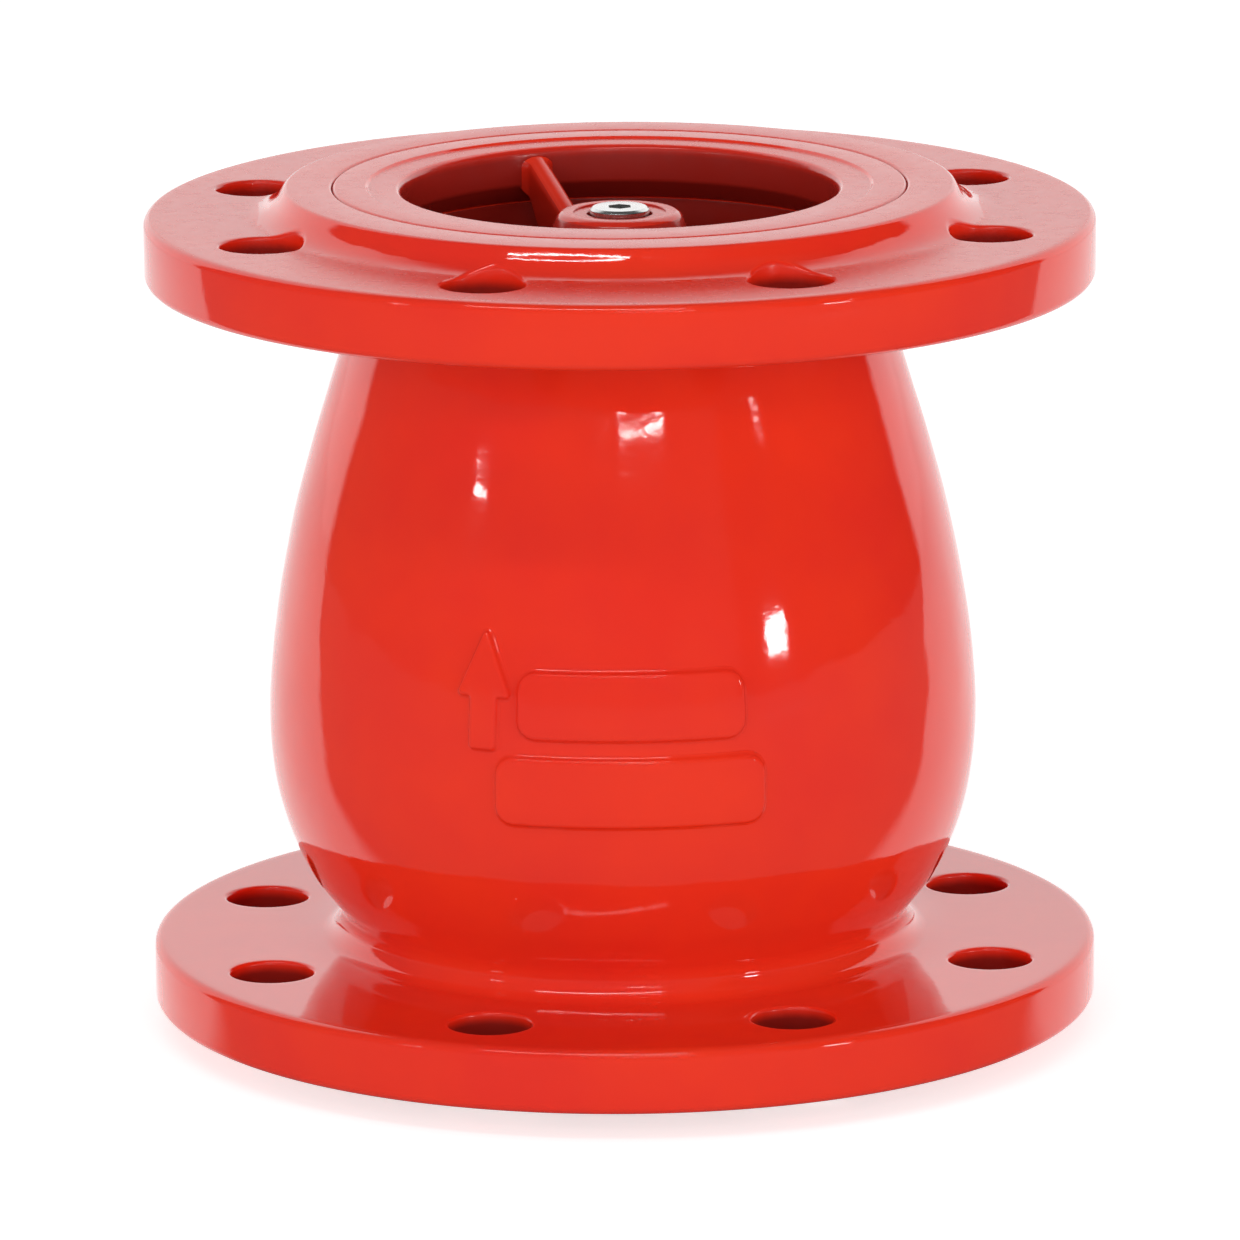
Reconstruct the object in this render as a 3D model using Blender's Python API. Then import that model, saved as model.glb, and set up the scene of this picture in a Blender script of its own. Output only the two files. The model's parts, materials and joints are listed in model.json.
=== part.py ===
"""Flanged axial spring non-return valve, DN 100, standing on its inlet flange.

Metres, +Z up. The origin is the centre of the inlet face, and the flow rises along +Z.
The disc closes on a seat in the inlet. It slides up a fixed rod against a spring,
and the rod hangs from a three-armed guide in the outlet.
"""

import math

import bmesh
import bpy
from mathutils import Matrix, Vector

# Flanges, with the outlet's radii measured in from the rim
FACE_TO_FACE = 0.199
FLANGE_R = 0.110
FLANGE_THICKNESS = 0.015
RIM_ROUND = 0.002
BOLT_COUNT = 8
BOLT_HOLE_R = 0.0095
BOLT_EDGE = 0.020
FIRST_BOLT_ANGLE = math.radians(22.5)
RAISED_HEIGHT = 0.0065
RAISED_SETBACK = 0.0127
RAISED_SLOPE_RUN = 0.0077
RAISED_FOOT_FILLET = 0.0055
GASKET_WIDTH = 0.0173
GUIDE_RIM_WIDTH = 0.011

# Barrel of the body
BELLY_Z = 0.074
FLOW_ROOM = 0.0198
WALL = 0.0085
INLET_NECK_WALL = 0.007
INLET_NECK_SLOPE = 0.97
OUTLET_NECK_WALL = 0.0043
OUTLET_NECK_SLOPE = 0.338
INLET_FILLET = 0.005
OUTLET_FILLET = 0.007

# Seat in the inlet
SEAT_POCKET_DEPTH = 0.014
SEAT_LEDGE = 0.006
SEAT_THROAT_LENGTH = 0.010
SEAT_WALL = 0.006
SEAT_ENTRY_FLARE = 0.0025
SEAT_NECK_RISE = 0.0025
SEAT_LIP_WIDTH = 0.002
SEAT_LIP_HEIGHT = 0.0015
SPANNER_SLOT_COUNT = 4
SPANNER_SLOT_WIDTH = 0.008
SPANNER_SLOT_DEPTH = 0.004
O_RING_R = 0.0012
O_RING_HEIGHT = 0.0065

# Disc
LIFT = 0.025
DISC_OVERLAP = 0.006
DISC_RIM_HEIGHT = 0.0055
DISC_LIP_WIDTH = 0.0022
DISC_HUB_HEIGHT = 0.0437
DISC_HUB_WALL = 0.0037
DISC_HUB_FOOT_ROOM = 0.0034
DISC_HUB_CAP = 0.004
DISC_ROUND = 0.0012
SPRING_SEAT_HEIGHT = 0.016
SPRING_SEAT_DEPTH = 0.0025
SEAL_WIDTH = 0.0112
SEAL_THICKNESS = 0.005
SEAL_PROUD = 0.0012
RETAINER_ROOM = 0.0015
RETAINER_THICKNESS = 0.004
BUSH_WALL = 0.0027
RETAINER_SCREW_COUNT = 6
RETAINER_SCREW_R = 0.0025
RETAINER_SCREW_HEAD_R = 0.0046
RETAINER_SCREW_LENGTH = 0.012
RETAINER_SOCKET_R = 0.0017
RETAINER_SOCKET_DEPTH = 0.0012

# Spring
SPRING_R = 0.022
SPRING_WIRE_R = 0.00125
SPRING_TURNS = 6
SPRING_WASHER_THICKNESS = 0.0015
SPRING_WASHER_INSET = 0.0025
SPRING_ROOM = 0.0008

# Rod and its fasteners
ROD_R = 0.006
ROD_SHOULDER_STEP = 0.004
ROD_STUD_STEP = 0.001
ROD_SCREW_R = 0.004
ROD_SCREW_LENGTH = 0.020
SCREW_HEAD_R = 0.0069
SCREW_HEAD_HEIGHT = 0.0044
SCREW_HEAD_PROUD = 0.001
SCREW_SOCKET_R = 0.0029
SCREW_SOCKET_DEPTH = 0.0026
LOCK_WASHER_THICKNESS = 0.0016
END_WASHER_WIDTH = 0.0067
END_WASHER_THICKNESS = 0.0025
END_NUT_WALL = 0.0045
END_NUT_HEIGHT = 0.0084
STUD_END = 0.0015

# Outlet guide: ring, arms and hub
GUIDE_RING_HEIGHT = 0.0137
GUIDE_LAND_WIDTH = 0.0083
GUIDE_LAND_DROP = 0.0006
GUIDE_LEDGE = 0.0113
BORE_LEAD_IN = 0.0045
ARM_COUNT = 3
FIRST_ARM_ANGLE = math.radians(110)
ARM_THICKNESS = 0.0052
ARM_ROUND = 0.0012
ARM_RIM_DROP = 0.0024
ARM_SLOPE = math.tan(math.radians(24.5))
ARM_FOOT_RISE = 0.0006
ARM_HUB_RISE = 0.022
HUB_TOP_DROP = 0.0065
HUB_LENGTH = 0.059
HUB_LAND_WIDTH = 0.0037
HUB_ROUND = 0.0012
HUB_WEB = 0.008
SPOT_FACE_WIDTH = 0.003
SPOT_FACE_DEPTH = 0.0005
CUP_DEPTH = 0.012
CUP_WALL = 0.0045

# Clearances and mesh fineness
GAP = 0.0003
PAST = 0.002
ROUND_STEPS = 1
FOOT_STEPS = 2
FILLET_STEPS = 3
BARREL_STEPS = 8
CAVITY_STEPS = 7
BELL_STEPS = 6
BIG_SEGMENTS = 48
MEDIUM_SEGMENTS = 36
SMALL_SEGMENTS = 24
HOLE_SEGMENTS = 12
WIRE_SEGMENTS = 6
COIL_STEPS = 14

# Radii that follow, from the rim in to the seat and the disc
BOLT_CIRCLE_R = FLANGE_R - BOLT_EDGE
RAISED_R = BOLT_CIRCLE_R - RAISED_SETBACK
GUIDE_RING_R = RAISED_R - GUIDE_RIM_WIDTH
OUTLET_THROAT_R = GUIDE_RING_R - GUIDE_LEDGE
OUTLET_BORE_R = OUTLET_THROAT_R - BORE_LEAD_IN
SEAT_POCKET_R = RAISED_R - GASKET_WIDTH
SEAT_THROAT_R = SEAT_POCKET_R - SEAT_LEDGE
SEAT_BORE_R = SEAT_THROAT_R - SEAT_WALL
DISC_R = SEAT_BORE_R + DISC_OVERLAP
RETAINER_R = SEAT_BORE_R - RETAINER_ROOM
SEAL_OUTER_R = DISC_R - DISC_LIP_WIDTH - GAP
SEAL_INNER_R = SEAL_OUTER_R - SEAL_WIDTH
DISC_BOSS_R = SEAL_INNER_R - GAP
BELLY_R = DISC_R + FLOW_ROOM + WALL
INLET_NECK_R = SEAT_THROAT_R + INLET_NECK_WALL
OUTLET_NECK_R = OUTLET_THROAT_R + OUTLET_NECK_WALL

# Radii that follow, from the rod out
BUSH_R = ROD_R + GAP + BUSH_WALL
DISC_HUB_BORE_R = BUSH_R + GAP
DISC_HUB_R = DISC_HUB_BORE_R + DISC_HUB_WALL
ROD_HOLE_R = ROD_R + 3 * GAP
RETAINER_SCREW_CIRCLE_R = (DISC_HUB_BORE_R + DISC_BOSS_R) / 2
CUP_R = SPRING_R + SPRING_WIRE_R + SPRING_ROOM
SPRING_HOLLOW_R = SPRING_R - SPRING_WIRE_R - SPRING_ROOM
HUB_BOTTOM_R = CUP_R + CUP_WALL
LOCK_WASHER_R = SCREW_HEAD_R + GAP
COUNTERBORE_R = LOCK_WASHER_R + GAP
SPOT_FACE_R = COUNTERBORE_R + SPOT_FACE_WIDTH
HUB_TOP_R = SPOT_FACE_R + HUB_LAND_WIDTH
ROD_STUD_R = ROD_R - ROD_STUD_STEP

# Heights that follow
INLET_FLANGE_TOP = RAISED_HEIGHT + FLANGE_THICKNESS
OUTLET_FLANGE_BASE = FACE_TO_FACE - INLET_FLANGE_TOP
GUIDE_POCKET_Z = FACE_TO_FACE - GUIDE_RING_HEIGHT - GAP
SEAT_THROAT_TOP = SEAT_POCKET_DEPTH + SEAT_THROAT_LENGTH
SEAT_LIP_Z = SEAT_THROAT_TOP + SEAT_NECK_RISE + SEAT_LIP_HEIGHT
CLOSED_Z = SEAT_LIP_Z + GAP
HUB_TOP_Z = FACE_TO_FACE - HUB_TOP_DROP
HUB_BOTTOM_Z = HUB_TOP_Z - HUB_LENGTH
CUP_CEILING_Z = HUB_BOTTOM_Z + CUP_DEPTH
HEAD_SEAT_Z = HUB_TOP_Z + SCREW_HEAD_PROUD - SCREW_HEAD_HEIGHT
COUNTERBORE_Z = HEAD_SEAT_Z - LOCK_WASHER_THICKNESS - 2 * GAP
ROD_TOP_Z = COUNTERBORE_Z - HUB_WEB - GAP
ROD_STOP_Z = CLOSED_Z + DISC_HUB_HEIGHT + LIFT + GAP
RETAINER_BASE = -GAP - RETAINER_THICKNESS
STUD_SHOULDER_Z = CLOSED_Z + RETAINER_BASE - 2 * GAP
DISC_UNDERSIDE = SEAL_THICKNESS + GAP
SPRING_SEAT_LIP = SPRING_SEAT_HEIGHT + SPRING_SEAT_DEPTH
SPRING_BASE_Z = CLOSED_Z + SPRING_SEAT_HEIGHT + GAP
SPRING_WASHER_Z = CUP_CEILING_Z - GAP - SPRING_WASHER_THICKNESS
SPRING_TOP_Z = SPRING_WASHER_Z - GAP


def clear_scene():
    for thing in list(bpy.data.objects):
        bpy.data.objects.remove(thing, do_unlink=True)


def make_look(name, colour, roughness, metallic):
    look = bpy.data.materials.new(name)
    look.use_nodes = True
    shader = look.node_tree.nodes["Principled BSDF"]
    shader.inputs["Base Color"].default_value = (*colour, 1)
    shader.inputs["Roughness"].default_value = roughness
    shader.inputs["Metallic"].default_value = metallic
    look.diffuse_color = (*colour, 1)
    return look


def make_object(name, mesh, look, parent=None, place=(0, 0, 0)):
    """Closes off a bmesh as a named object in its parent's frame."""
    bmesh.ops.recalc_face_normals(mesh, faces=mesh.faces)
    data = bpy.data.meshes.new(name)
    mesh.to_mesh(data)
    mesh.free()
    data.shade_smooth()
    data.set_sharp_from_angle(angle=math.radians(35))
    thing = bpy.data.objects.new(name, data)
    thing.location = place
    thing.parent = parent
    if look:
        data.materials.append(look)
    bpy.context.collection.objects.link(thing)
    return thing


def boolean(target, tool, operation):
    tool.hide_render = True
    tool.display_type = "WIRE"
    step = target.modifiers.new(tool.name, "BOOLEAN")
    step.operation = operation
    step.object = tool


def around(count, first=0.0):
    """Angles of a pattern of equal steps round the axis."""
    return [first + 2 * math.pi * index / count for index in range(count)]


def outline(corners, closed):
    """Turns corners (r, z), (r, z, radius) or (r, z, radius, steps) into points, with arcs at the radii."""
    points = []
    for index, corner in enumerate(corners):
        here = Vector(corner[:2])
        radius = corner[2] if len(corner) > 2 else 0
        inner = closed or 0 < index < len(corners) - 1
        if not (radius and inner):
            points.append(here)
            continue
        steps = corner[3] if len(corner) > 3 else ROUND_STEPS
        back = (Vector(corners[index - 1][:2]) - here).normalized()
        ahead = (Vector(corners[(index + 1) % len(corners)][:2]) - here).normalized()
        half = back.angle(ahead) / 2
        middle = here + (back + ahead).normalized() * radius / math.sin(half)
        start = here + back * radius / math.tan(half) - middle
        end = here + ahead * radius / math.tan(half) - middle
        turn = start.angle(end)
        for step in range(steps + 1):
            share = step / steps
            arm = start * math.sin((1 - share) * turn) + end * math.sin(share * turn)
            points.append(middle + arm / math.sin(turn))
    return points


def turn_profile(mesh, corners, closed, segments):
    """Spins a profile round Z, closed into a ring or open with both ends on the axis."""
    verts = [mesh.verts.new((point.x, 0, point.y)) for point in outline(corners, closed)]
    following = verts[1:] + verts[:1] if closed else verts[1:]
    edges = [mesh.edges.new(pair) for pair in zip(verts, following)]
    whole = 2 * math.pi
    bmesh.ops.spin(mesh, geom=verts + edges, axis=(0, 0, 1), angle=whole, steps=segments, use_merge=True)
    bmesh.ops.remove_doubles(mesh, verts=mesh.verts, dist=1e-6)


def turned(name, corners, look, parent=None, place=(0, 0, 0), closed=True, segments=BIG_SEGMENTS):
    mesh = bmesh.new()
    turn_profile(mesh, corners, closed, segments)
    return make_object(name, mesh, look, parent, place)


def add_cylinder(mesh, radius, low, high, x=0.0, y=0.0, segments=HOLE_SEGMENTS, turn=0.0):
    where = Matrix.Translation((x, y, (low + high) / 2)) @ Matrix.Rotation(turn, 4, "Z")
    bmesh.ops.create_cone(
        mesh, cap_ends=True, segments=segments, radius1=radius, radius2=radius, depth=high - low, matrix=where
    )


def barrel_radius(z):
    """Outside of the barrel: level at the belly, running down to a sloping neck at each flange."""
    if z < BELLY_Z:
        span, neck, slope = BELLY_Z - INLET_FLANGE_TOP, INLET_NECK_R, INLET_NECK_SLOPE
        along = (BELLY_Z - z) / span
    else:
        span, neck, slope = OUTLET_FLANGE_BASE - BELLY_Z, OUTLET_NECK_R, OUTLET_NECK_SLOPE
        along = (z - BELLY_Z) / span
    fall = BELLY_R - neck
    run = slope * span
    return BELLY_R - (3 * fall - run) * along**2 - (run - 2 * fall) * along**3


def cavity_radius(z):
    return max(barrel_radius(z) - WALL, OUTLET_THROAT_R)


def steps_between(low, high, count):
    return [low + (high - low) * index / count for index in range(count + 1)]


def flange_end(face, inward):
    """Corners of one flange from its raised face to its back; inward is the way into the body along Z."""
    bolt_face = face + inward * RAISED_HEIGHT
    back = bolt_face + inward * FLANGE_THICKNESS
    return [
        (RAISED_R, face),
        (RAISED_R + RAISED_SLOPE_RUN, bolt_face, RAISED_FOOT_FILLET, FOOT_STEPS),
        (FLANGE_R, bolt_face, RIM_ROUND),
        (FLANGE_R, back, RIM_ROUND),
    ]


def make_body(look):
    fillet_room = 3 * INLET_FILLET
    barrel = steps_between(INLET_FLANGE_TOP + fillet_room, OUTLET_FLANGE_BASE - fillet_room, BARREL_STEPS)
    cavity = steps_between(SEAT_THROAT_TOP, OUTLET_FLANGE_BASE - OUTLET_FILLET, CAVITY_STEPS)
    outside = flange_end(0, 1)
    outside += [(barrel_radius(INLET_FLANGE_TOP), INLET_FLANGE_TOP, INLET_FILLET, FILLET_STEPS)]
    outside += [(barrel_radius(z), z) for z in barrel]
    outside += [(barrel_radius(OUTLET_FLANGE_BASE), OUTLET_FLANGE_BASE, OUTLET_FILLET, FILLET_STEPS)]
    outside += reversed(flange_end(FACE_TO_FACE, -1))
    inside = [
        (GUIDE_RING_R + GAP, FACE_TO_FACE),
        (GUIDE_RING_R + GAP, GUIDE_POCKET_Z),
        (OUTLET_THROAT_R, GUIDE_POCKET_Z),
    ]
    inside += [(cavity_radius(z), z) for z in reversed(cavity)]
    inside += [
        (SEAT_THROAT_R, SEAT_THROAT_TOP),
        (SEAT_THROAT_R, SEAT_POCKET_DEPTH),
        (SEAT_POCKET_R, SEAT_POCKET_DEPTH),
        (SEAT_POCKET_R, 0),
    ]
    body = turned("body", outside + inside, look)
    boolean(body, make_bolt_drill(), "DIFFERENCE")
    return body


def make_bolt_drill():
    """Every bolt hole of both flanges as one cutter, short enough to miss the belly."""
    mesh = bmesh.new()
    for angle in around(BOLT_COUNT, FIRST_BOLT_ANGLE):
        x, y = BOLT_CIRCLE_R * math.cos(angle), BOLT_CIRCLE_R * math.sin(angle)
        add_cylinder(mesh, BOLT_HOLE_R, -PAST, INLET_FLANGE_TOP + PAST, x, y, turn=angle)
        add_cylinder(mesh, BOLT_HOLE_R, OUTLET_FLANGE_BASE - PAST, FACE_TO_FACE + PAST, x, y, turn=angle)
    return make_object("bolt_drill", mesh, None)


def hub_radius(z):
    """Bell of the guide's hub, widening from its top to an upright rim."""
    along = (HUB_TOP_Z - z) / HUB_LENGTH
    return HUB_TOP_R + (HUB_BOTTOM_R - HUB_TOP_R) * math.sin(along * math.pi / 2)


def make_guide_spider(look):
    land = FACE_TO_FACE - GUIDE_LAND_DROP
    land_r = GUIDE_RING_R - GUIDE_LAND_WIDTH
    base = GUIDE_POCKET_Z + GAP
    ring = [
        (GUIDE_RING_R, base),
        (GUIDE_RING_R, FACE_TO_FACE),
        (land_r, FACE_TO_FACE),
        (land_r, land),
        (OUTLET_BORE_R, land, HUB_ROUND),
        (OUTLET_BORE_R, base + BORE_LEAD_IN),
        (OUTLET_THROAT_R, base),
    ]
    spider = turned("guide_spider", ring, look)
    boolean(spider, make_hub(), "UNION")
    for index, angle in enumerate(around(ARM_COUNT, FIRST_ARM_ANGLE)):
        boolean(spider, make_arm(f"guide_arm_{index + 1}", angle), "UNION")
    return spider


def make_hub():
    bell = [(hub_radius(z), z) for z in steps_between(HUB_TOP_Z, HUB_BOTTOM_Z, BELL_STEPS)]
    bell[0] = (*bell[0], HUB_ROUND)
    bores = [
        (CUP_R, HUB_BOTTOM_Z),
        (CUP_R, CUP_CEILING_Z),
        (ROD_R + GAP, CUP_CEILING_Z),
        (ROD_R + GAP, ROD_TOP_Z + GAP),
        (ROD_SCREW_R + GAP, ROD_TOP_Z + GAP),
        (ROD_SCREW_R + GAP, COUNTERBORE_Z),
        (COUNTERBORE_R, COUNTERBORE_Z),
        (COUNTERBORE_R, HUB_TOP_Z - SPOT_FACE_DEPTH),
        (SPOT_FACE_R, HUB_TOP_Z - SPOT_FACE_DEPTH),
        (SPOT_FACE_R, HUB_TOP_Z),
    ]
    return turned("guide_hub", bell + bores, None, segments=SMALL_SEGMENTS)


def make_arm(name, angle):
    """A blade from the ring's bore to the hub, its ends sunk in both, along X before it is turned."""
    ring_end = OUTLET_BORE_R + BORE_LEAD_IN / 2
    hub_end = CUP_R + GAP
    rim_z = FACE_TO_FACE - ARM_RIM_DROP
    top_at_hub = rim_z - (OUTLET_BORE_R - hub_end) * ARM_SLOPE
    buried_r = hub_radius(top_at_hub) - 2 * ARM_ROUND
    top_buried = rim_z - (OUTLET_BORE_R - buried_r) * ARM_SLOPE
    foot_at_ring = GUIDE_POCKET_Z + BORE_LEAD_IN + ARM_FOOT_RISE
    foot_at_hub = HUB_BOTTOM_Z + ARM_HUB_RISE
    side = [
        (ring_end, foot_at_ring),
        (ring_end, rim_z + (ring_end - OUTLET_BORE_R) * ARM_SLOPE),
        (buried_r, top_buried),
        (hub_end, foot_at_hub),
    ]
    mesh = bmesh.new()
    half = ARM_THICKNESS / 2
    face = mesh.faces.new([mesh.verts.new((r, -half, z)) for r, z in side])
    swept = bmesh.ops.extrude_face_region(mesh, geom=[face])
    moved = [item for item in swept["geom"] if isinstance(item, bmesh.types.BMVert)]
    bmesh.ops.translate(mesh, verts=moved, vec=(0, ARM_THICKNESS, 0))
    long_edges = [edge for edge in mesh.edges if abs(edge.verts[0].co.y - edge.verts[1].co.y) < GAP]
    bmesh.ops.bevel(mesh, geom=long_edges, offset=ARM_ROUND, segments=ROUND_STEPS, affect="EDGES")
    bmesh.ops.rotate(mesh, verts=mesh.verts, matrix=Matrix.Rotation(angle, 3, "Z"))
    return make_object(name, mesh, None)


def hex_socket(name, radius, depth, top, parent=None, place=(0, 0, 0)):
    mesh = bmesh.new()
    add_cylinder(mesh, radius, top - depth, top + PAST, segments=6)
    return make_object(name, mesh, None, parent, place)


def make_rod_screw(look):
    """Button-head screw; its own zero is under the head."""
    crown = [
        (0, SCREW_HEAD_HEIGHT),
        (0.6 * SCREW_HEAD_R, SCREW_HEAD_HEIGHT),
        (0.88 * SCREW_HEAD_R, 0.66 * SCREW_HEAD_HEIGHT),
        (SCREW_HEAD_R, 0.2 * SCREW_HEAD_HEIGHT),
        (SCREW_HEAD_R, 0),
        (ROD_SCREW_R, 0),
        (ROD_SCREW_R, -ROD_SCREW_LENGTH),
        (0, -ROD_SCREW_LENGTH),
    ]
    place = (0, 0, HEAD_SEAT_Z)
    screw = turned("rod_screw", crown, look, None, place, closed=False, segments=SMALL_SEGMENTS)
    top = SCREW_HEAD_HEIGHT
    socket = hex_socket("rod_screw_socket", SCREW_SOCKET_R, SCREW_SOCKET_DEPTH, top, None, place)
    boolean(screw, socket, "DIFFERENCE")


def make_washer(name, look, inner, outer, thickness, z, segments=SMALL_SEGMENTS):
    ring = [(inner, 0), (outer, 0), (outer, thickness), (inner, thickness)]
    return turned(name, ring, look, None, (0, 0, z), segments=segments)


def make_guide_rod(look):
    screw_hole = HEAD_SEAT_Z - ROD_SCREW_LENGTH - GAP
    stud_base = STUD_SHOULDER_Z - END_WASHER_THICKNESS - END_NUT_HEIGHT - 2 * GAP - STUD_END
    shaft = [
        (0, screw_hole),
        (ROD_SCREW_R + GAP, screw_hole),
        (ROD_SCREW_R + GAP, ROD_TOP_Z),
        (ROD_R, ROD_TOP_Z),
        (ROD_R, CUP_CEILING_Z - GAP),
        (ROD_R + ROD_SHOULDER_STEP, CUP_CEILING_Z - GAP),
        (ROD_R + ROD_SHOULDER_STEP, ROD_STOP_Z),
        (ROD_R, ROD_STOP_Z),
        (ROD_R, STUD_SHOULDER_Z),
        (ROD_STUD_R, STUD_SHOULDER_Z),
        (ROD_STUD_R, stud_base),
        (0, stud_base),
    ]
    turned("guide_rod", shaft, look, closed=False, segments=SMALL_SEGMENTS)


def make_rod_end(look):
    washer_z = STUD_SHOULDER_Z - GAP - END_WASHER_THICKNESS
    bore = ROD_STUD_R + GAP
    make_washer("rod_end_washer", look, bore, bore + END_WASHER_WIDTH, END_WASHER_THICKNESS, washer_z)
    nut_z = washer_z - GAP - END_NUT_HEIGHT
    mesh = bmesh.new()
    add_cylinder(mesh, bore + END_NUT_WALL, 0, END_NUT_HEIGHT, segments=6)
    nut = make_object("rod_end_nut", mesh, look, None, (0, 0, nut_z))
    hole = bmesh.new()
    add_cylinder(hole, bore, -PAST, END_NUT_HEIGHT + PAST, segments=SMALL_SEGMENTS)
    boolean(nut, make_object("rod_end_nut_hole", hole, None, None, (0, 0, nut_z)), "DIFFERENCE")


def make_seat_ring(look):
    neck = SEAT_THROAT_R - GAP
    shoulder = SEAT_LIP_Z - SEAT_LIP_HEIGHT
    groove_r = SEAT_THROAT_R - 2 * O_RING_R - 2 * GAP
    groove_half = O_RING_R + GAP
    groove_z = SEAT_POCKET_DEPTH + O_RING_HEIGHT
    lip_inner = SEAT_BORE_R + SEAT_LIP_HEIGHT / 2
    ring = [
        (SEAT_BORE_R + SEAT_ENTRY_FLARE, GAP),
        (SEAT_POCKET_R - GAP, GAP),
        (SEAT_POCKET_R - GAP, SEAT_POCKET_DEPTH - GAP),
        (neck, SEAT_POCKET_DEPTH - GAP),
        (neck, groove_z - groove_half),
        (groove_r, groove_z - groove_half),
        (groove_r, groove_z + groove_half),
        (neck, groove_z + groove_half),
        (neck, shoulder),
        (lip_inner + SEAT_LIP_WIDTH, shoulder),
        (lip_inner + SEAT_LIP_WIDTH, SEAT_LIP_Z),
        (lip_inner, SEAT_LIP_Z),
        (SEAT_BORE_R, shoulder),
        (SEAT_BORE_R, SEAT_POCKET_DEPTH / 2),
    ]
    seat = turned("seat_ring", ring, look)
    mesh = bmesh.new()
    for angle in around(SPANNER_SLOT_COUNT):
        reach = (SEAT_BORE_R + SEAT_POCKET_R) / 2
        where = Matrix.Rotation(angle, 4, "Z") @ Matrix.Translation((reach / 2, 0, 0))
        size = Matrix.Diagonal((reach, SPANNER_SLOT_WIDTH, 2 * SPANNER_SLOT_DEPTH, 1))
        bmesh.ops.create_cube(mesh, size=1, matrix=where @ size)
    slots = make_object("spanner_slots", mesh, None)
    boolean(seat, slots, "DIFFERENCE")


def make_seat_o_ring(look):
    mid_r = SEAT_THROAT_R - GAP - O_RING_R
    section = [(mid_r + O_RING_R * math.cos(a), O_RING_R * math.sin(a)) for a in around(WIRE_SEGMENTS)]
    place = (0, 0, SEAT_POCKET_DEPTH + O_RING_HEIGHT)
    turned("seat_o_ring", section, look, None, place, segments=MEDIUM_SEGMENTS)


def make_disc(look, carrier):
    """Domed disc; its own zero is the sealing plane, which the seal's lower face fills."""
    profile = [
        (DISC_HUB_BORE_R, 0),
        (DISC_BOSS_R, 0),
        (DISC_BOSS_R, DISC_UNDERSIDE),
        (DISC_R - DISC_LIP_WIDTH, DISC_UNDERSIDE),
        (DISC_R - DISC_LIP_WIDTH, SEAL_PROUD),
        (DISC_R, SEAL_PROUD),
        (DISC_R, SEAL_PROUD + DISC_RIM_HEIGHT, DISC_ROUND),
        ((DISC_R + CUP_R) / 2, SPRING_SEAT_LIP - DISC_ROUND),
        (CUP_R + DISC_ROUND, SPRING_SEAT_LIP, DISC_ROUND),
        (CUP_R, SPRING_SEAT_HEIGHT),
        (SPRING_HOLLOW_R, SPRING_SEAT_HEIGHT),
        (SPRING_HOLLOW_R - DISC_HUB_FOOT_ROOM, SPRING_SEAT_LIP),
        (DISC_HUB_R, DISC_HUB_HEIGHT, DISC_ROUND),
        (ROD_HOLE_R, DISC_HUB_HEIGHT),
        (ROD_HOLE_R, DISC_HUB_HEIGHT - DISC_HUB_CAP),
        (DISC_HUB_BORE_R, DISC_HUB_HEIGHT - DISC_HUB_CAP),
    ]
    disc = turned("disc", profile, look, carrier, segments=MEDIUM_SEGMENTS)
    mesh = bmesh.new()
    hole_top = RETAINER_BASE + RETAINER_SCREW_LENGTH + GAP
    for angle in around(RETAINER_SCREW_COUNT):
        x, y = RETAINER_SCREW_CIRCLE_R * math.cos(angle), RETAINER_SCREW_CIRCLE_R * math.sin(angle)
        add_cylinder(mesh, RETAINER_SCREW_R + GAP, -PAST, hole_top, x, y)
    boolean(disc, make_object("disc_drill", mesh, None, carrier), "DIFFERENCE")


def make_disc_bush(look, carrier):
    inner = ROD_R + GAP
    height = DISC_HUB_HEIGHT - DISC_HUB_CAP - GAP
    ring = [(inner, 0), (BUSH_R, 0), (BUSH_R, height), (inner, height)]
    turned("disc_bush", ring, look, carrier, segments=SMALL_SEGMENTS)


def make_disc_seal(look, carrier):
    top = SEAL_THICKNESS
    ring = [(SEAL_INNER_R, 0), (SEAL_OUTER_R, 0), (SEAL_OUTER_R, top), (SEAL_INNER_R, top)]
    turned("disc_seal", ring, look, carrier, segments=MEDIUM_SEGMENTS)


def make_seal_retainer(look, carrier):
    plate = [
        (ROD_HOLE_R, RETAINER_BASE),
        (RETAINER_R, RETAINER_BASE, DISC_ROUND),
        (RETAINER_R, -GAP),
        (ROD_HOLE_R, -GAP),
    ]
    retainer = turned("seal_retainer", plate, look, carrier, segments=MEDIUM_SEGMENTS)
    mesh = bmesh.new()
    for angle in around(RETAINER_SCREW_COUNT):
        x, y = RETAINER_SCREW_CIRCLE_R * math.cos(angle), RETAINER_SCREW_CIRCLE_R * math.sin(angle)
        turn_profile(mesh, screw_profile(GAP), False, HOLE_SEGMENTS)
        fresh = [vert for vert in mesh.verts if not vert.tag]
        bmesh.ops.translate(mesh, verts=fresh, vec=(x, y, RETAINER_BASE))
        for vert in fresh:
            vert.tag = True
    boolean(retainer, make_object("retainer_drill", mesh, None, carrier), "DIFFERENCE")


def screw_profile(room):
    """Countersunk screw, head down, from its flat head at zero; room widens it into its own hole."""
    head_r = RETAINER_SCREW_HEAD_R + room
    shank_r = RETAINER_SCREW_R + room
    below = PAST if room else 0
    return [
        (0, -below),
        (head_r, -below),
        (head_r, 0),
        (shank_r, head_r - shank_r),
        (shank_r, RETAINER_SCREW_LENGTH),
        (0, RETAINER_SCREW_LENGTH),
    ]


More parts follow.
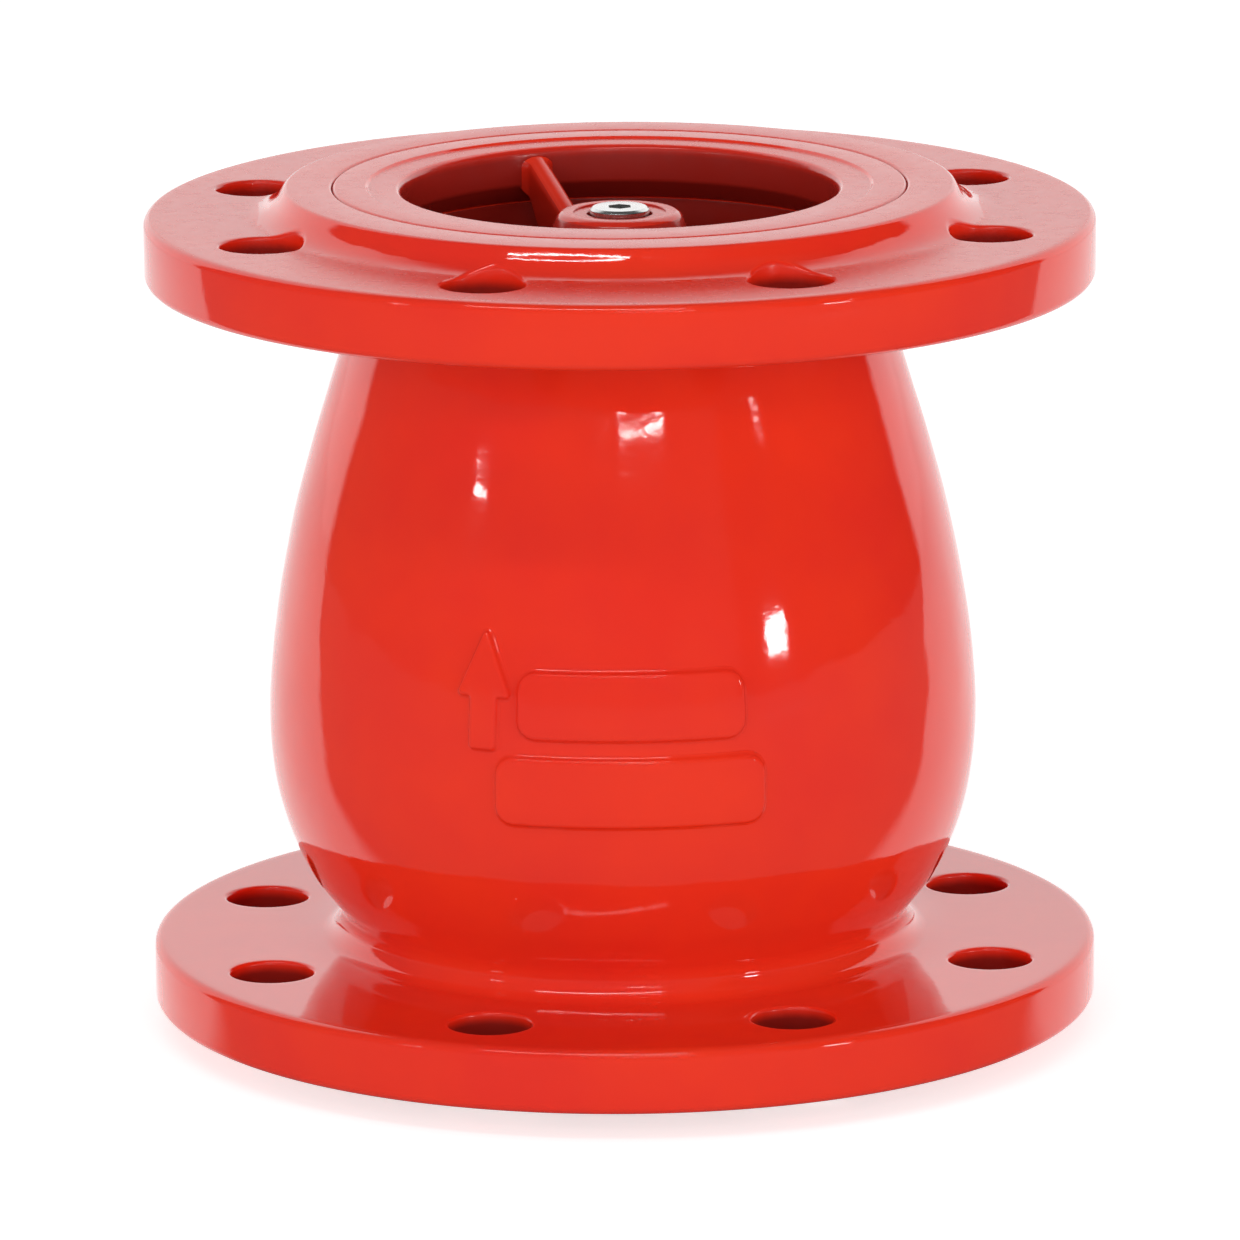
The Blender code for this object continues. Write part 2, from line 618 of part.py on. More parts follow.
def make_retainer_screws(look, carrier):
    for index, angle in enumerate(around(RETAINER_SCREW_COUNT)):
        x, y = RETAINER_SCREW_CIRCLE_R * math.cos(angle), RETAINER_SCREW_CIRCLE_R * math.sin(angle)
        place = (x, y, RETAINER_BASE)
        name = f"retainer_screw_{index + 1}"
        screw = turned(name, screw_profile(0), look, carrier, place, closed=False, segments=HOLE_SEGMENTS)
        socket = hex_socket(f"{name}_socket", RETAINER_SOCKET_R, PAST, RETAINER_SOCKET_DEPTH, carrier, place)
        boolean(screw, socket, "DIFFERENCE")


def spring_height(turn, low, high):
    """Height of the wire's middle after so many turns: close-wound end turns, even ones between."""
    close_pitch = 2 * SPRING_WIRE_R + GAP
    if turn < 1:
        return low + close_pitch * turn
    if turn > SPRING_TURNS + 1:
        return high - close_pitch * (SPRING_TURNS + 2 - turn)
    open_low, open_high = low + close_pitch, high - close_pitch
    return open_low + (open_high - open_low) * (turn - 1) / SPRING_TURNS


def make_spring(look):
    low = SPRING_BASE_Z + SPRING_WIRE_R
    high = SPRING_TOP_Z - SPRING_WIRE_R
    mesh = bmesh.new()
    rings = []
    for step in range((SPRING_TURNS + 2) * COIL_STEPS + 1):
        turn = step / COIL_STEPS
        angle = 2 * math.pi * turn
        z = spring_height(turn, low, high)
        ring = []
        for a in around(WIRE_SEGMENTS, math.pi / 2):
            r = SPRING_R + SPRING_WIRE_R * math.cos(a)
            rise = SPRING_WIRE_R * math.sin(a)
            ring.append(mesh.verts.new((r * math.cos(angle), r * math.sin(angle), z + rise)))
        rings.append(ring)
    for ring, following in zip(rings, rings[1:]):
        for side in range(WIRE_SEGMENTS):
            after = (side + 1) % WIRE_SEGMENTS
            mesh.faces.new((ring[side], ring[after], following[after], following[side]))
    mesh.faces.new(rings[0])
    mesh.faces.new(rings[-1])
    make_object("spring", mesh, look)


def main():
    clear_scene()
    epoxy = make_look("red_epoxy", (0.80, 0.025, 0.03), 0.25, 0)
    steel = make_look("stainless_steel", (0.62, 0.62, 0.60), 0.30, 1)
    bronze = make_look("bronze", (0.70, 0.45, 0.20), 0.35, 1)
    polymer = make_look("bearing_polymer", (0.75, 0.72, 0.62), 0.50, 0)
    rubber = make_look("rubber", (0.02, 0.02, 0.02), 0.60, 0)

    make_body(epoxy)
    make_guide_spider(epoxy)
    make_rod_screw(steel)
    washer_bore = ROD_SCREW_R + GAP
    washer_z = COUNTERBORE_Z + GAP
    make_washer("rod_lock_washer", steel, washer_bore, LOCK_WASHER_R, LOCK_WASHER_THICKNESS, washer_z)
    make_guide_rod(steel)
    make_rod_end(steel)
    make_seat_ring(bronze)
    make_seat_o_ring(rubber)
    make_spring(steel)
    ring_in, ring_out = SPRING_R - SPRING_WASHER_INSET, CUP_R - GAP
    make_washer("spring_washer", steel, ring_in, ring_out, SPRING_WASHER_THICKNESS, SPRING_WASHER_Z)

    carrier = bpy.data.objects.new("disc_slide", None)
    carrier.location = (0, 0, CLOSED_Z)
    bpy.context.collection.objects.link(carrier)
    make_disc(bronze, carrier)
    make_disc_bush(polymer, carrier)
    make_disc_seal(rubber, carrier)
    make_seal_retainer(steel, carrier)
    make_retainer_screws(steel, carrier)
    bpy.context.view_layer.update()


main()
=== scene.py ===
"""Looks for the flanged spring non-return valve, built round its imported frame.

Metres, +Z up. The origin is the centre of the inlet face, and the flow rises along +Z.
Every piece is made in its place at rest, with the disc closed.
"""

import json
from math import atan, atan2, cos, hypot, pi, radians, sin, sqrt, tan

import bmesh
import bpy
from mathutils import Matrix, Vector, geometry, noise


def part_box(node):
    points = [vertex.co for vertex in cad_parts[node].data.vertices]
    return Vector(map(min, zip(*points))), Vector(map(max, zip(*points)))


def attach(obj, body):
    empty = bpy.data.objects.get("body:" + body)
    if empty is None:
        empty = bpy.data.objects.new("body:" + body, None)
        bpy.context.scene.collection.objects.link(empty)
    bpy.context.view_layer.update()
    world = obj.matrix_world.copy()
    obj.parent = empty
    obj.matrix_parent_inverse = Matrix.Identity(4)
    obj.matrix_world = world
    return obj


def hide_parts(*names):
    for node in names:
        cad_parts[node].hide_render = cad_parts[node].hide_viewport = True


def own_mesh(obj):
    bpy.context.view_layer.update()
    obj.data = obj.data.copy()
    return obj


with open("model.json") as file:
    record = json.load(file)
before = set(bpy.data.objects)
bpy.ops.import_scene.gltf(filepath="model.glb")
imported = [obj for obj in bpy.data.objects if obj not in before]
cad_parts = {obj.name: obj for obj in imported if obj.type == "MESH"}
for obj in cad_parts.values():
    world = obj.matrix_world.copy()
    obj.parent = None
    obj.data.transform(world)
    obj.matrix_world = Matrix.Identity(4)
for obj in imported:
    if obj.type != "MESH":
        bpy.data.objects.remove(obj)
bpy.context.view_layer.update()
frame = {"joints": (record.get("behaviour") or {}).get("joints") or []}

# Sizes that the frame gives
BODY_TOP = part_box("body")[1]
TOP_Z = BODY_TOP.z
FLANGE_R = BODY_TOP.x
GUIDE_LOW, GUIDE_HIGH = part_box("guide_spider")
GUIDE_RING_R = GUIDE_HIGH.x
HUB_BOTTOM_Z = GUIDE_LOW.z
DISC_LOW, DISC_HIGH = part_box("disc")
CLOSED_Z = DISC_LOW.z
DISC_R = DISC_HIGH.x
SPRING_LOW, SPRING_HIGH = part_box("spring")
SEAT_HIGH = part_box("seat_ring")[1]
RETAINER_LOW, RETAINER_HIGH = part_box("seal_retainer")
ROD_LOW, ROD_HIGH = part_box("guide_rod")
LIFT = frame["joints"][0]["range_m"][1]
GAP = 0.0003

# Flanges
FLANGE_THICKNESS = 0.015
RAISED_HEIGHT = 0.0065
INLET_BACK_Z = RAISED_HEIGHT + FLANGE_THICKNESS
OUTLET_BACK_Z = TOP_Z - INLET_BACK_Z
RAISED_R = 0.0773
RAISED_SLOPE_RUN = 0.0042
RAISED_FOOT_FILLET = 0.0085
RAISED_EDGE_ROUND = 0.0014
RIM_ROUND = 0.002
EDGE_R = 0.0004
GROOVE_ROUND = 0.0009
GROOVE_GAP = 0.0001
BOLT_COUNT = 8
BOLT_CIRCLE_R = 0.090
BOLT_HOLE_R = 0.0095
BOLT_EDGE_ROUND = 0.0009
FIRST_BOLT_ANGLE = radians(22.5)
PLATE_INNER_R = 0.0786
PLATE_OUTER_R = 0.1065

# Barrel and cavity
BELLY_R = 0.0823
BELLY_Z = 0.074
WALL = 0.0085
INLET_NECK_R = 0.061
INLET_NECK_SLOPE = 0.97
OUTLET_NECK_R = 0.0593
OUTLET_NECK_SLOPE = 0.338
INLET_FILLET = 0.005
OUTLET_FILLET = 0.007
OUTLET_THROAT_R = 0.055
GUIDE_RING_HEIGHT = 0.0137
SEAT_THROAT_R = 0.054
SEAT_POCKET_Z = 0.014
SEAT_THROAT_TOP = 0.024
CAST_SWELL = 0.00022
CAST_SWELL_LENGTH = 0.030

# Outlet guide
GUIDE_LAND_R = 0.058
GUIDE_LAND_DROP = 0.0006
OUTLET_BORE_R = 0.0505
BORE_EDGE_ROUND = 0.0016
ARM_COUNT = 3
FIRST_ARM_ANGLE = radians(110)
ARM_THICKNESS = 0.0052
ARM_ROUND = 0.0022
ARM_RIM_DROP = 0.0024
ARM_SLOPE = tan(radians(24.5))
ARM_FOOT_AT_RING = 0.1901
ARM_FOOT_AT_HUB = 0.1555
ARM_FILLET = 0.0030
HUB_TOP_Z = 0.1925
HUB_TOP_R = 0.0142
HUB_BOTTOM_R = 0.02855
HUB_ROUND = 0.0024
SPOT_FACE_R = 0.0105
SPOT_FACE_DEPTH = 0.0005
COUNTERBORE_R = 0.0075
COUNTERBORE_Z = 0.1869
CUP_R = 0.02405
CUP_CEILING_Z = 0.1455
ROD_TOP_Z = 0.1786

# Rod and its fasteners
ROD_R = 0.006
ROD_SHOULDER_R = 0.010
DISC_HUB_HEIGHT = 0.0437
ROD_STOP_Z = CLOSED_Z + DISC_HUB_HEIGHT + LIFT + GAP
ROD_SCREW_R = 0.004
ROD_STUD_R = 0.005
SCREW_HEAD_R = 0.0069
SCREW_HEAD_Z = 0.1891
SCREW_HEAD_HEIGHT = 0.0044
SCREW_SHANK_LENGTH = 0.020
SCREW_SOCKET_R = 0.0029
SCREW_SOCKET_DEPTH = 0.0026

# Disc and seat
DISC_LIP_WIDTH = 0.0022
DISC_BOSS_R = 0.040
SEAL_INNER_R = 0.0403
SEAL_THICKNESS = 0.005
SEAL_PROUD = 0.0012
DISC_RIM_HEIGHT = 0.0055
SPRING_SEAT_HEIGHT = 0.016
SPRING_SEAT_LIP = 0.0185
DISC_HUB_CAP = 0.004
DISC_HUB_BORE_R = 0.0093
DISC_HUB_R = 0.013
DISC_HUB_FOOT_R = 0.01655
ROD_HOLE_R = 0.0069
SEAT_BORE_R = 0.048
SEAT_ENTRY_R = 0.0505
SEAT_SEAL_WIDTH = 0.0024
SPANNER_SLOT_COUNT = 4
SPANNER_SLOT_WIDTH = 0.008
SPANNER_SLOT_DEPTH = 0.004
RETAINER_SCREW_COUNT = 6
RETAINER_SCREW_CIRCLE_R = 0.02465
RETAINER_SCREW_HEAD_R = 0.0046
RETAINER_SCREW_R = 0.0025
RETAINER_SOCKET_R = 0.0017
RETAINER_SOCKET_DEPTH = 0.0012

# Spring
SPRING_R = 0.022
SPRING_WIRE_R = 0.00125
SPRING_TURNS = 6
CUP_WASHER_REACH = 0.0025

# Raised marks on the front of the barrel
ARROW_ANGLE = radians(244.6)
ARROW_FOOT_Z = 0.0835
ARROW_HEIGHT = 0.0275
ARROW_HEAD_HEIGHT = 0.0155
ARROW_HEAD_WIDTH = 0.0132
ARROW_STEM_WIDTH = 0.0062
MARK_HEIGHT = 0.0013
MARK_PITCH = 0.0015
BAR_CORNER_R = 0.004

# Blank bars: name, ends in degrees round from +X, lower and upper edge
BLANK_BARS = (
    ("upper_bar", 250.5, 287, 0.0865, 0.1015),
    ("lower_bar", 247, 290, 0.0665, 0.0820),
)

# Colours: places on a noise where the first and the second colour stand
COLOUR_STOPS = (0.35, 0.65)
RED_LOW = (0.81, 0.027, 0.013)
RED_HIGH = (0.86, 0.035, 0.011)
PLAIN_RED = (0.83, 0.021, 0.005)
COAT_IOR = 1.6

# Painted shade inside the cavity, the bolt holes and on the arms: its darkest colour, and heights with the
# share of plain red there
PAINTED_SHADE_DARKEST = (0.32, 0.013, 0.008)
PAINTED_SHADE_EDGE_RAGGED = 0.0006
CAVITY_PAINTED_SHADE = ((0.0, 0.6), (0.006, 0.0), (0.1960, 0.0), (0.1985, 0.8))
ARM_PAINTED_SHADE = ((0.0, 0.1), (0.150, 0.1), (0.190, 0.45), (0.196, 0.8))
LOWER_HOLE_PAINTED_SHADE = ((0.0072, 1.0), (0.0090, 0.0), (0.0188, 0.0), (0.0206, 1.0))
UPPER_HOLE_PAINTED_SHADE = ((0.1785, 1.0), (0.1800, 0.0), (0.1898, 0.0), (0.1916, 1.0))

# Light: what reflections see, and what falls on the surfaces
BACK_LEVEL = 1.6
BACK_STARTS = (0.50, 0.56)
FRONT_LEVEL = 0.14
RIGHT_LEVEL = 0.03
RIGHT_STARTS = (0.60, 0.66)
OVERHEAD_LEVEL = 0.12
OVERHEAD_STARTS = (0.72, 0.9)
SIDE_LIGHT = 3.25
TOP_LIGHT = 0.34
TOP_LIGHT_STARTS = (0.05, 0.6)
LIGHT_FROM_FRONT = 1.02
LIGHT_FROM_BACK = 0.65
FLOOR_HALF_SIZE = 8
FLOOR_WHITE = 0.86
FLOOR_LIFT = 0.65
FLOOR_DIMMED = 0.8
FLOOR_EDGE = (-0.12, -0.096)
FLOOR_EDGE_SPREAD = 0.52

# Small bright panels: name, azimuth, elevation, width and height in degrees, and radiance
PANEL_DISTANCE = 1.8
PANELS = (
    ("centre_panel", 8, 24.6, 17, 0.2, 70),
    ("centre_spot", -8.4, 25.4, 5, 0.2, 30),
    ("right_panel", 50.6, 5.2, 6, 3.4, 25),
    ("right_spot", 55.7, 21.2, 2.5, 0.2, 30),
    ("left_panel", -52.7, 17.2, 5, 0.7, 30),
    ("high_panel", -14, 56, 40, 1.2, 26),
)

# Mesh fineness, and the angle up to which edges look round
SMOOTH_ANGLE = radians(38)
PLATE_STEPS = 36
TURN_STEPS = BOLT_COUNT * PLATE_STEPS
FINE_STEPS = 96
ARC_STEPS = 5
BARREL_STEPS = 72
CAVITY_STEPS = 40
BELL_STEPS = 30

# Camera
CAMERA_DISTANCE = 2.548
CAMERA_LENS = 317.6
CAMERA_SHIFT = -0.002
CAMERA_SENSOR = 36
CAMERA_ELEVATION = radians(13.2)
CAMERA_AZIMUTH = radians(-2.6)
CAMERA_ROLL = radians(-0.4)
CAMERA_TARGET_Z = 0.0954


def angles_round(count, first=0.0):
    """So many angles, spread evenly round the axis."""
    return [first + 2 * pi * index / count for index in range(count)]


def evenly(start, end, steps):
    """Values from start to end in even steps, with both ends."""
    return [start + (end - start) * step / steps for step in range(steps + 1)]


def arc_points(here, back, ahead, radius, steps):
    """Points of an arc that rounds the corner here, between the unit ways back and ahead."""
    half = back.angle(ahead) / 2
    middle = here + (back + ahead).normalized() * radius / sin(half)
    start = here + back * radius / tan(half) - middle
    end = here + ahead * radius / tan(half) - middle
    turn = start.angle(end)
    points = []
    for step in range(steps + 1):
        share = step / steps
        arm = start * sin((1 - share) * turn) + end * sin(share * turn)
        points.append(middle + arm / sin(turn))
    return points


def outline(corners, closed, steps=ARC_STEPS):
    """Turns corners (r, z) or (r, z, radius) into points, with arcs at the radii."""
    points = []
    for index, corner in enumerate(corners):
        here = Vector(corner[:2])
        inner = closed or 0 < index < len(corners) - 1
        if len(corner) < 3 or not inner:
            points.append(here)
            continue
        back = (Vector(corners[index - 1][:2]) - here).normalized()
        ahead = (Vector(corners[(index + 1) % len(corners)][:2]) - here).normalized()
        points += arc_points(here, back, ahead, corner[2], steps)
    return points


def turn(mesh, points, closed, steps):
    """Turns a profile round Z into a skin; a point on the axis becomes a pole."""
    angles = angles_round(steps)
    rings = []
    for radius, z in points:
        if radius < 1e-7:
            rings.append([mesh.verts.new((0, 0, z))] * steps)
            continue
        spots = [(radius * cos(angle), radius * sin(angle), z) for angle in angles]
        rings.append(add_row(mesh, spots))
    following = rings[1:] + rings[:1] if closed else rings[1:]
    for ring, after in zip(rings, following):
        for step in range(steps):
            beside = (step + 1) % steps
            corners = [ring[step], ring[beside], after[beside], after[step]]
            unique = list(dict.fromkeys(corners))
            if len(unique) > 2:
                mesh.faces.new(unique)


def settle(name, mesh, material):
    """Closes off a bmesh as a smooth-shaded object with its faces out."""
    bmesh.ops.remove_doubles(mesh, verts=mesh.verts, dist=2e-7)
    bmesh.ops.recalc_face_normals(mesh, faces=mesh.faces)
    data = bpy.data.meshes.new(name)
    mesh.to_mesh(data)
    mesh.free()
    data.shade_smooth()
    data.set_sharp_from_angle(angle=SMOOTH_ANGLE)
    thing = bpy.data.objects.new(name, data)
    bpy.context.collection.objects.link(thing)
    if material:
        data.materials.append(material)
    return thing


def turned(name, corners, material, closed=True, steps=FINE_STEPS):
    mesh = bmesh.new()
    turn(mesh, outline(corners, closed), closed, steps)
    return settle(name, mesh, material)


def carve(target, operation, *tools):
    """Applies booleans with the tool objects to the target, and takes the tools away."""
    for tool in tools:
        step = target.modifiers.new(tool.name, "BOOLEAN")
        step.operation = operation
        step.object = tool
    graph = bpy.context.evaluated_depsgraph_get()
    result = bpy.data.meshes.new_from_object(target.evaluated_get(graph))
    target.modifiers.clear()
    target.data = result
    result.shade_smooth()
    result.set_sharp_from_angle(angle=SMOOTH_ANGLE)
    for tool in tools:
        bpy.data.objects.remove(tool, do_unlink=True)
    return target


def prism(name, radius, low, high, sides, x=0.0, y=0.0):
    mesh = bmesh.new()
    where = Matrix.Translation((x, y, (low + high) / 2))
    bmesh.ops.create_cone(
        mesh, cap_ends=True, segments=sides, radius1=radius, radius2=radius, depth=high - low, matrix=where
    )
    return settle(name, mesh, None)


def place(piece, body, slot, *nodes):
    """Says which body carries a piece and which nodes it stands for; the slot is not used."""
    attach(piece, body)
    if nodes:
        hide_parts(*nodes)
    return piece


# Materials
def new_material(name, colour, roughness, metallic=0.0, ior=None):
    material = bpy.data.materials.new(name)
    material.use_nodes = True
    shader = material.node_tree.nodes["Principled BSDF"]
    shader.inputs["Base Color"].default_value = (*colour, 1)
    shader.inputs["Roughness"].default_value = roughness
    shader.inputs["Metallic"].default_value = metallic
    if ior:
        shader.inputs["IOR"].default_value = ior
    return material, shader


def add_node(material, kind, **values):
    """Adds a node and sets its sockets by name, with underscores for spaces."""
    node = material.node_tree.nodes.new(kind)
    for name, value in values.items():
        node.inputs[name.replace("_", " ")].default_value = value
    return node


def add_noise(material, scale, detail, stretch=None):
    """Noise in the piece's own space, so many waves to a metre, stretched along the axes if asked."""
    links = material.node_tree.links
    place_node = add_node(material, "ShaderNodeTexCoord")
    texture = add_node(material, "ShaderNodeTexNoise", Scale=scale, Detail=detail, Roughness=0.55)
    source = place_node.outputs["Object"]
    if stretch:
        mapping = add_node(material, "ShaderNodeMapping", Scale=stretch)
        links.new(source, mapping.inputs["Vector"])
        source = mapping.outputs["Vector"]
    links.new(source, texture.inputs["Vector"])
    return texture.outputs["Fac"]


def ramp_colour(tree, shader, fac, shades):
    """Takes the base colour from a number, with a colour at each place given."""
    ramp = tree.nodes.new("ShaderNodeValToRGB")
    stops = ramp.color_ramp.elements
    while len(stops) < len(shades):
        stops.new(1.0)
    for stop, (position, colour) in zip(stops, shades):
        stop.position = position
        stop.color = (*colour, 1)
    tree.links.new(fac, ramp.inputs["Fac"])
    tree.links.new(ramp.outputs["Color"], shader.inputs["Base Color"])


def vary_roughness(material, shader, fac, low, high):
    span = add_node(material, "ShaderNodeMapRange", To_Min=low, To_Max=high)
    material.node_tree.links.new(fac, span.inputs["Value"])
    material.node_tree.links.new(span.outputs["Result"], shader.inputs["Roughness"])


def add_bumps(material, shader, layers):
    """Chains bumps: each layer is a height source and its height in metres."""
    links = material.node_tree.links
    before = None
    for fac, height in layers:
        bump = add_node(material, "ShaderNodeBump", Strength=1.0, Distance=height)
        links.new(fac, bump.inputs["Height"])
        if before:
            links.new(before.outputs["Normal"], bump.inputs["Normal"])
        before = bump
    links.new(before.outputs["Normal"], shader.inputs["Normal"])


def feed(tree, pairs):
    """Gives each socket its value, which is a number or another node's output."""
    for socket, value in pairs:
        if isinstance(value, (int, float)):
            socket.default_value = value
        elif value is not None:
            tree.links.new(value, socket)


def math_node(tree, operation, first, second=None):
    """A math node, whose inputs are numbers or the outputs of other nodes."""
    node = tree.nodes.new("ShaderNodeMath")
    node.operation = operation
    feed(tree, zip(node.inputs, (first, second)))
    return node.outputs["Value"]


def make_finish(base, colours, tint, roughnesses, wear, bumps):
    """A finish that varies in colour, roughness and height; noises are waves to a metre and detail."""
    material, shader = new_material(*base)
    shades = tuple(zip(COLOUR_STOPS, colours))
    ramp_colour(material.node_tree, shader, add_noise(material, *tint), shades)
    vary_roughness(material, shader, add_noise(material, *wear), *roughnesses)
    add_bumps(material, shader, [(add_noise(material, *waves), height) for waves, height in bumps])
    return material


def make_red_epoxy():
    """Fusion-bonded epoxy: thick, glossy and slightly rippled, like orange peel."""
    base = ("red_epoxy", PLAIN_RED, 0.05, 0.0, COAT_IOR)
    bumps = (((110, 3), 0.000028), ((500, 2), 0.000011))
    return make_finish(base, (RED_LOW, RED_HIGH), (22, 3), (0.03, 0.08), (60, 3), bumps)


def make_face_epoxy():
    """The same coating over machined faces, where it is thinner and takes their grain."""
    base = ("red_epoxy_on_machined_face", PLAIN_RED, 0.2, 0.0, COAT_IOR)
    bumps = (((1400, 2), 0.000012),)
    return make_finish(base, (RED_LOW, RED_HIGH), (40, 3), (0.20, 0.32), (300, 3), bumps)


def make_spring_steel():
    base = ("spring_steel", (0.60, 0.59, 0.56), 0.28, 1.0)
    colours = ((0.50, 0.49, 0.46), (0.66, 0.65, 0.62))
    return make_finish(base, colours, (200, 3), (0.2, 0.38), (400, 3), (((1500, 2), 0.000004),))


def make_polymer():
    base = ("bearing_polymer", (0.75, 0.72, 0.62), 0.45)
    colours = ((0.70, 0.67, 0.57), (0.77, 0.74, 0.65))
    return make_finish(base, colours, (120, 3), (0.4, 0.55), (300, 3), (((1200, 2), 0.000006),))


def make_rubber():
    base = ("rubber", (0.022, 0.022, 0.022), 0.6)
    colours = ((0.016, 0.016, 0.016), (0.03, 0.03, 0.029))
    return make_finish(base, colours, (150, 4), (0.5, 0.75), (350, 3), (((1100, 3), 0.000012),))


def make_painted_shade_epoxy(name, shades):
    """Red coating darkened by height with painted shade, for the shadow deep inside; shades pair heights
    with shares of red.
    """
    material, shader = new_material(name, (0.5, 0.015, 0.007), 0.2, 0.0, COAT_IOR)
    tree = material.node_tree
    coordinates = add_node(material, "ShaderNodeTexCoord")
    split = add_node(material, "ShaderNodeSeparateXYZ")
    tree.links.new(coordinates.outputs["Object"], split.inputs["Vector"])
    ragged = math_node(tree, "MULTIPLY", add_noise(material, 260, 3, (1, 1, 0.2)), PAINTED_SHADE_EDGE_RAGGED)
    ragged = math_node(tree, "SUBTRACT", ragged, PAINTED_SHADE_EDGE_RAGGED / 2)
    height = math_node(tree, "ADD", split.outputs["Z"], ragged)
    colours = []
    for z, share in shades:
        colour = [dark + (bright - dark) * share for dark, bright in zip(PAINTED_SHADE_DARKEST, PLAIN_RED)]
        colours.append((z / TOP_Z, colour))
    ramp_colour(tree, shader, math_node(tree, "DIVIDE", height, TOP_Z), colours)
    vary_roughness(material, shader, add_noise(material, 200, 3), 0.12, 0.3)
    add_bumps(material, shader, [(add_noise(material, 420, 3), 0.00005)])
    return material


def make_turned_metal(name, low, high, roughness, groove):
    """Metal with fine rings from the lathe, which follow the height and the radius."""
    material, shader = new_material(name, high, roughness, 1.0)
    links = material.node_tree.links
    shades = tuple(zip(COLOUR_STOPS, (low, high)))
    ramp_colour(material.node_tree, shader, add_noise(material, 55, 4), shades)
    vary_roughness(material, shader, add_noise(material, 140, 3), 0.75 * roughness, 1.3 * roughness)
    rings = add_node(material, "ShaderNodeTexWave", Scale=450, Distortion=0.6, Detail=2, Detail_Scale=3)
    rings.wave_type = "RINGS"
    rings.rings_direction = "Z"
    coordinates = add_node(material, "ShaderNodeTexCoord")
    links.new(coordinates.outputs["Object"], rings.inputs["Vector"])
    add_bumps(material, shader, [(rings.outputs["Fac"], groove), (add_noise(material, 900, 2), groove)])
    return material


# Body
def barrel_radius(z):
    """Outside of the barrel: level at the belly, running down to a sloping neck at each flange."""
    if z < BELLY_Z:
        span, neck, slope = BELLY_Z - INLET_BACK_Z, INLET_NECK_R, INLET_NECK_SLOPE
    else:
        span, neck, slope = OUTLET_BACK_Z - BELLY_Z, OUTLET_NECK_R, OUTLET_NECK_SLOPE
    along = abs(z - BELLY_Z) / span
    fall = BELLY_R - neck
    run = slope * span
    return BELLY_R - (3 * fall - run) * along**2 - (run - 2 * fall) * along**3


def raised_height(radius):
    """Height of a flange's outer face above its bolt face: a slope with a round foot, then level."""
    tilt = atan2(RAISED_HEIGHT, RAISED_SLOPE_RUN)
    reach = RAISED_FOOT_FILLET * tan(tilt / 2)
    foot = RAISED_R + RAISED_SLOPE_RUN
    if radius >= foot + reach:
        return 0.0
    if radius > foot - reach * cos(tilt):
        away = foot + reach - radius
        return RAISED_FOOT_FILLET - sqrt(RAISED_FOOT_FILLET**2 - away**2)
    return (foot - radius) * tan(tilt)


def plate_edge():
    """Corners of one bolt's share of a flange, counterclockwise from its inner edge, about the X axis."""
    half = pi / BOLT_COUNT
    sides = PLATE_STEPS // 3
    points = [(PLATE_INNER_R, angle) for angle in evenly(half, -half, PLATE_STEPS)[:-1]]
    points += [(radius, -half) for radius in evenly(PLATE_INNER_R, PLATE_OUTER_R, sides)[:-1]]
    points += [(PLATE_OUTER_R, angle) for angle in evenly(-half, half, PLATE_STEPS)[:-1]]
    points += [(radius, half) for radius in evenly(PLATE_OUTER_R, PLATE_INNER_R, sides)[:-1]]
    return [Vector((r * cos(a), r * sin(a))) for r, a in points]


def hole_angles(edge):
    """The way out of the hole towards each edge point, evened out so that no step is coarse."""
    centre = Vector((BOLT_CIRCLE_R, 0))
    ways = []
    for point in edge:
        way = atan2(point.y, point.x - centre.x)
        while ways and way < ways[-1]:
            way += 2 * pi
        ways.append(way)
    even = [ways[0] + 2 * pi * index / len(edge) for index in range(len(edge))]
    return [(way + 1.5 * other) / 2.5 for way, other in zip(ways, even)]


def plate_rings(side):
    """Rings of plan points from the hole out to the plate's edge, each with its drop at the rounding."""
    edge = plate_edge()
    ways = hole_angles(edge)
    rings = []
    for turn_angle in evenly(0, pi / 2, ARC_STEPS):
        radius = BOLT_HOLE_R + BOLT_EDGE_ROUND * (1 - cos(turn_angle))
        drop = BOLT_EDGE_ROUND * (1 - sin(turn_angle))
        ring = [Vector((BOLT_CIRCLE_R + radius * cos(w), radius * sin(w))) for w in ways]
        rings.append((ring, side * drop))
    start = rings[-1][0]
    spread = 12
    for step in range(1, spread + 1):
        share = (step / spread) ** 1.3
        rings.append(([a.lerp(b, share) for a, b in zip(start, edge)], 0.0))
    return rings


def add_plate_face(mesh, angle, height, side):
    """One face of one bolt's share of a flange; side is 1 where it looks up, -1 where it looks down."""
    turning = Matrix.Rotation(angle, 2)
    rows = []
    for ring, drop in plate_rings(side):
        rows.append(add_row(mesh, [(*(turning @ point), height(point.length) - drop) for point in ring]))
    bridge(mesh, rows)
    return rows[0]


def add_row(mesh, spots):
    return [mesh.verts.new(spot) for spot in spots]


def bridge(mesh, rows):
    """Joins closed rows of points with faces."""
    for row, after in zip(rows, rows[1:]):
        for index in range(len(row)):
            beside = (index + 1) % len(row)
            mesh.faces.new((row[index], row[beside], after[beside], after[index]))


def add_flange_plates(mesh, lower, upper):
    """Both faces of a flange, and the walls of its bolt holes."""
    for angle in angles_round(BOLT_COUNT, FIRST_BOLT_ANGLE):
        rows = [add_plate_face(mesh, angle, upper, 1)]
        bottom = add_plate_face(mesh, angle, lower, -1)
        pairs = list(zip(rows[0], bottom))
        for share in (0.25, 0.5, 0.75):
            rows.append(add_row(mesh, [a.co.lerp(b.co, share) for a, b in pairs]))
        bridge(mesh, rows + [bottom])


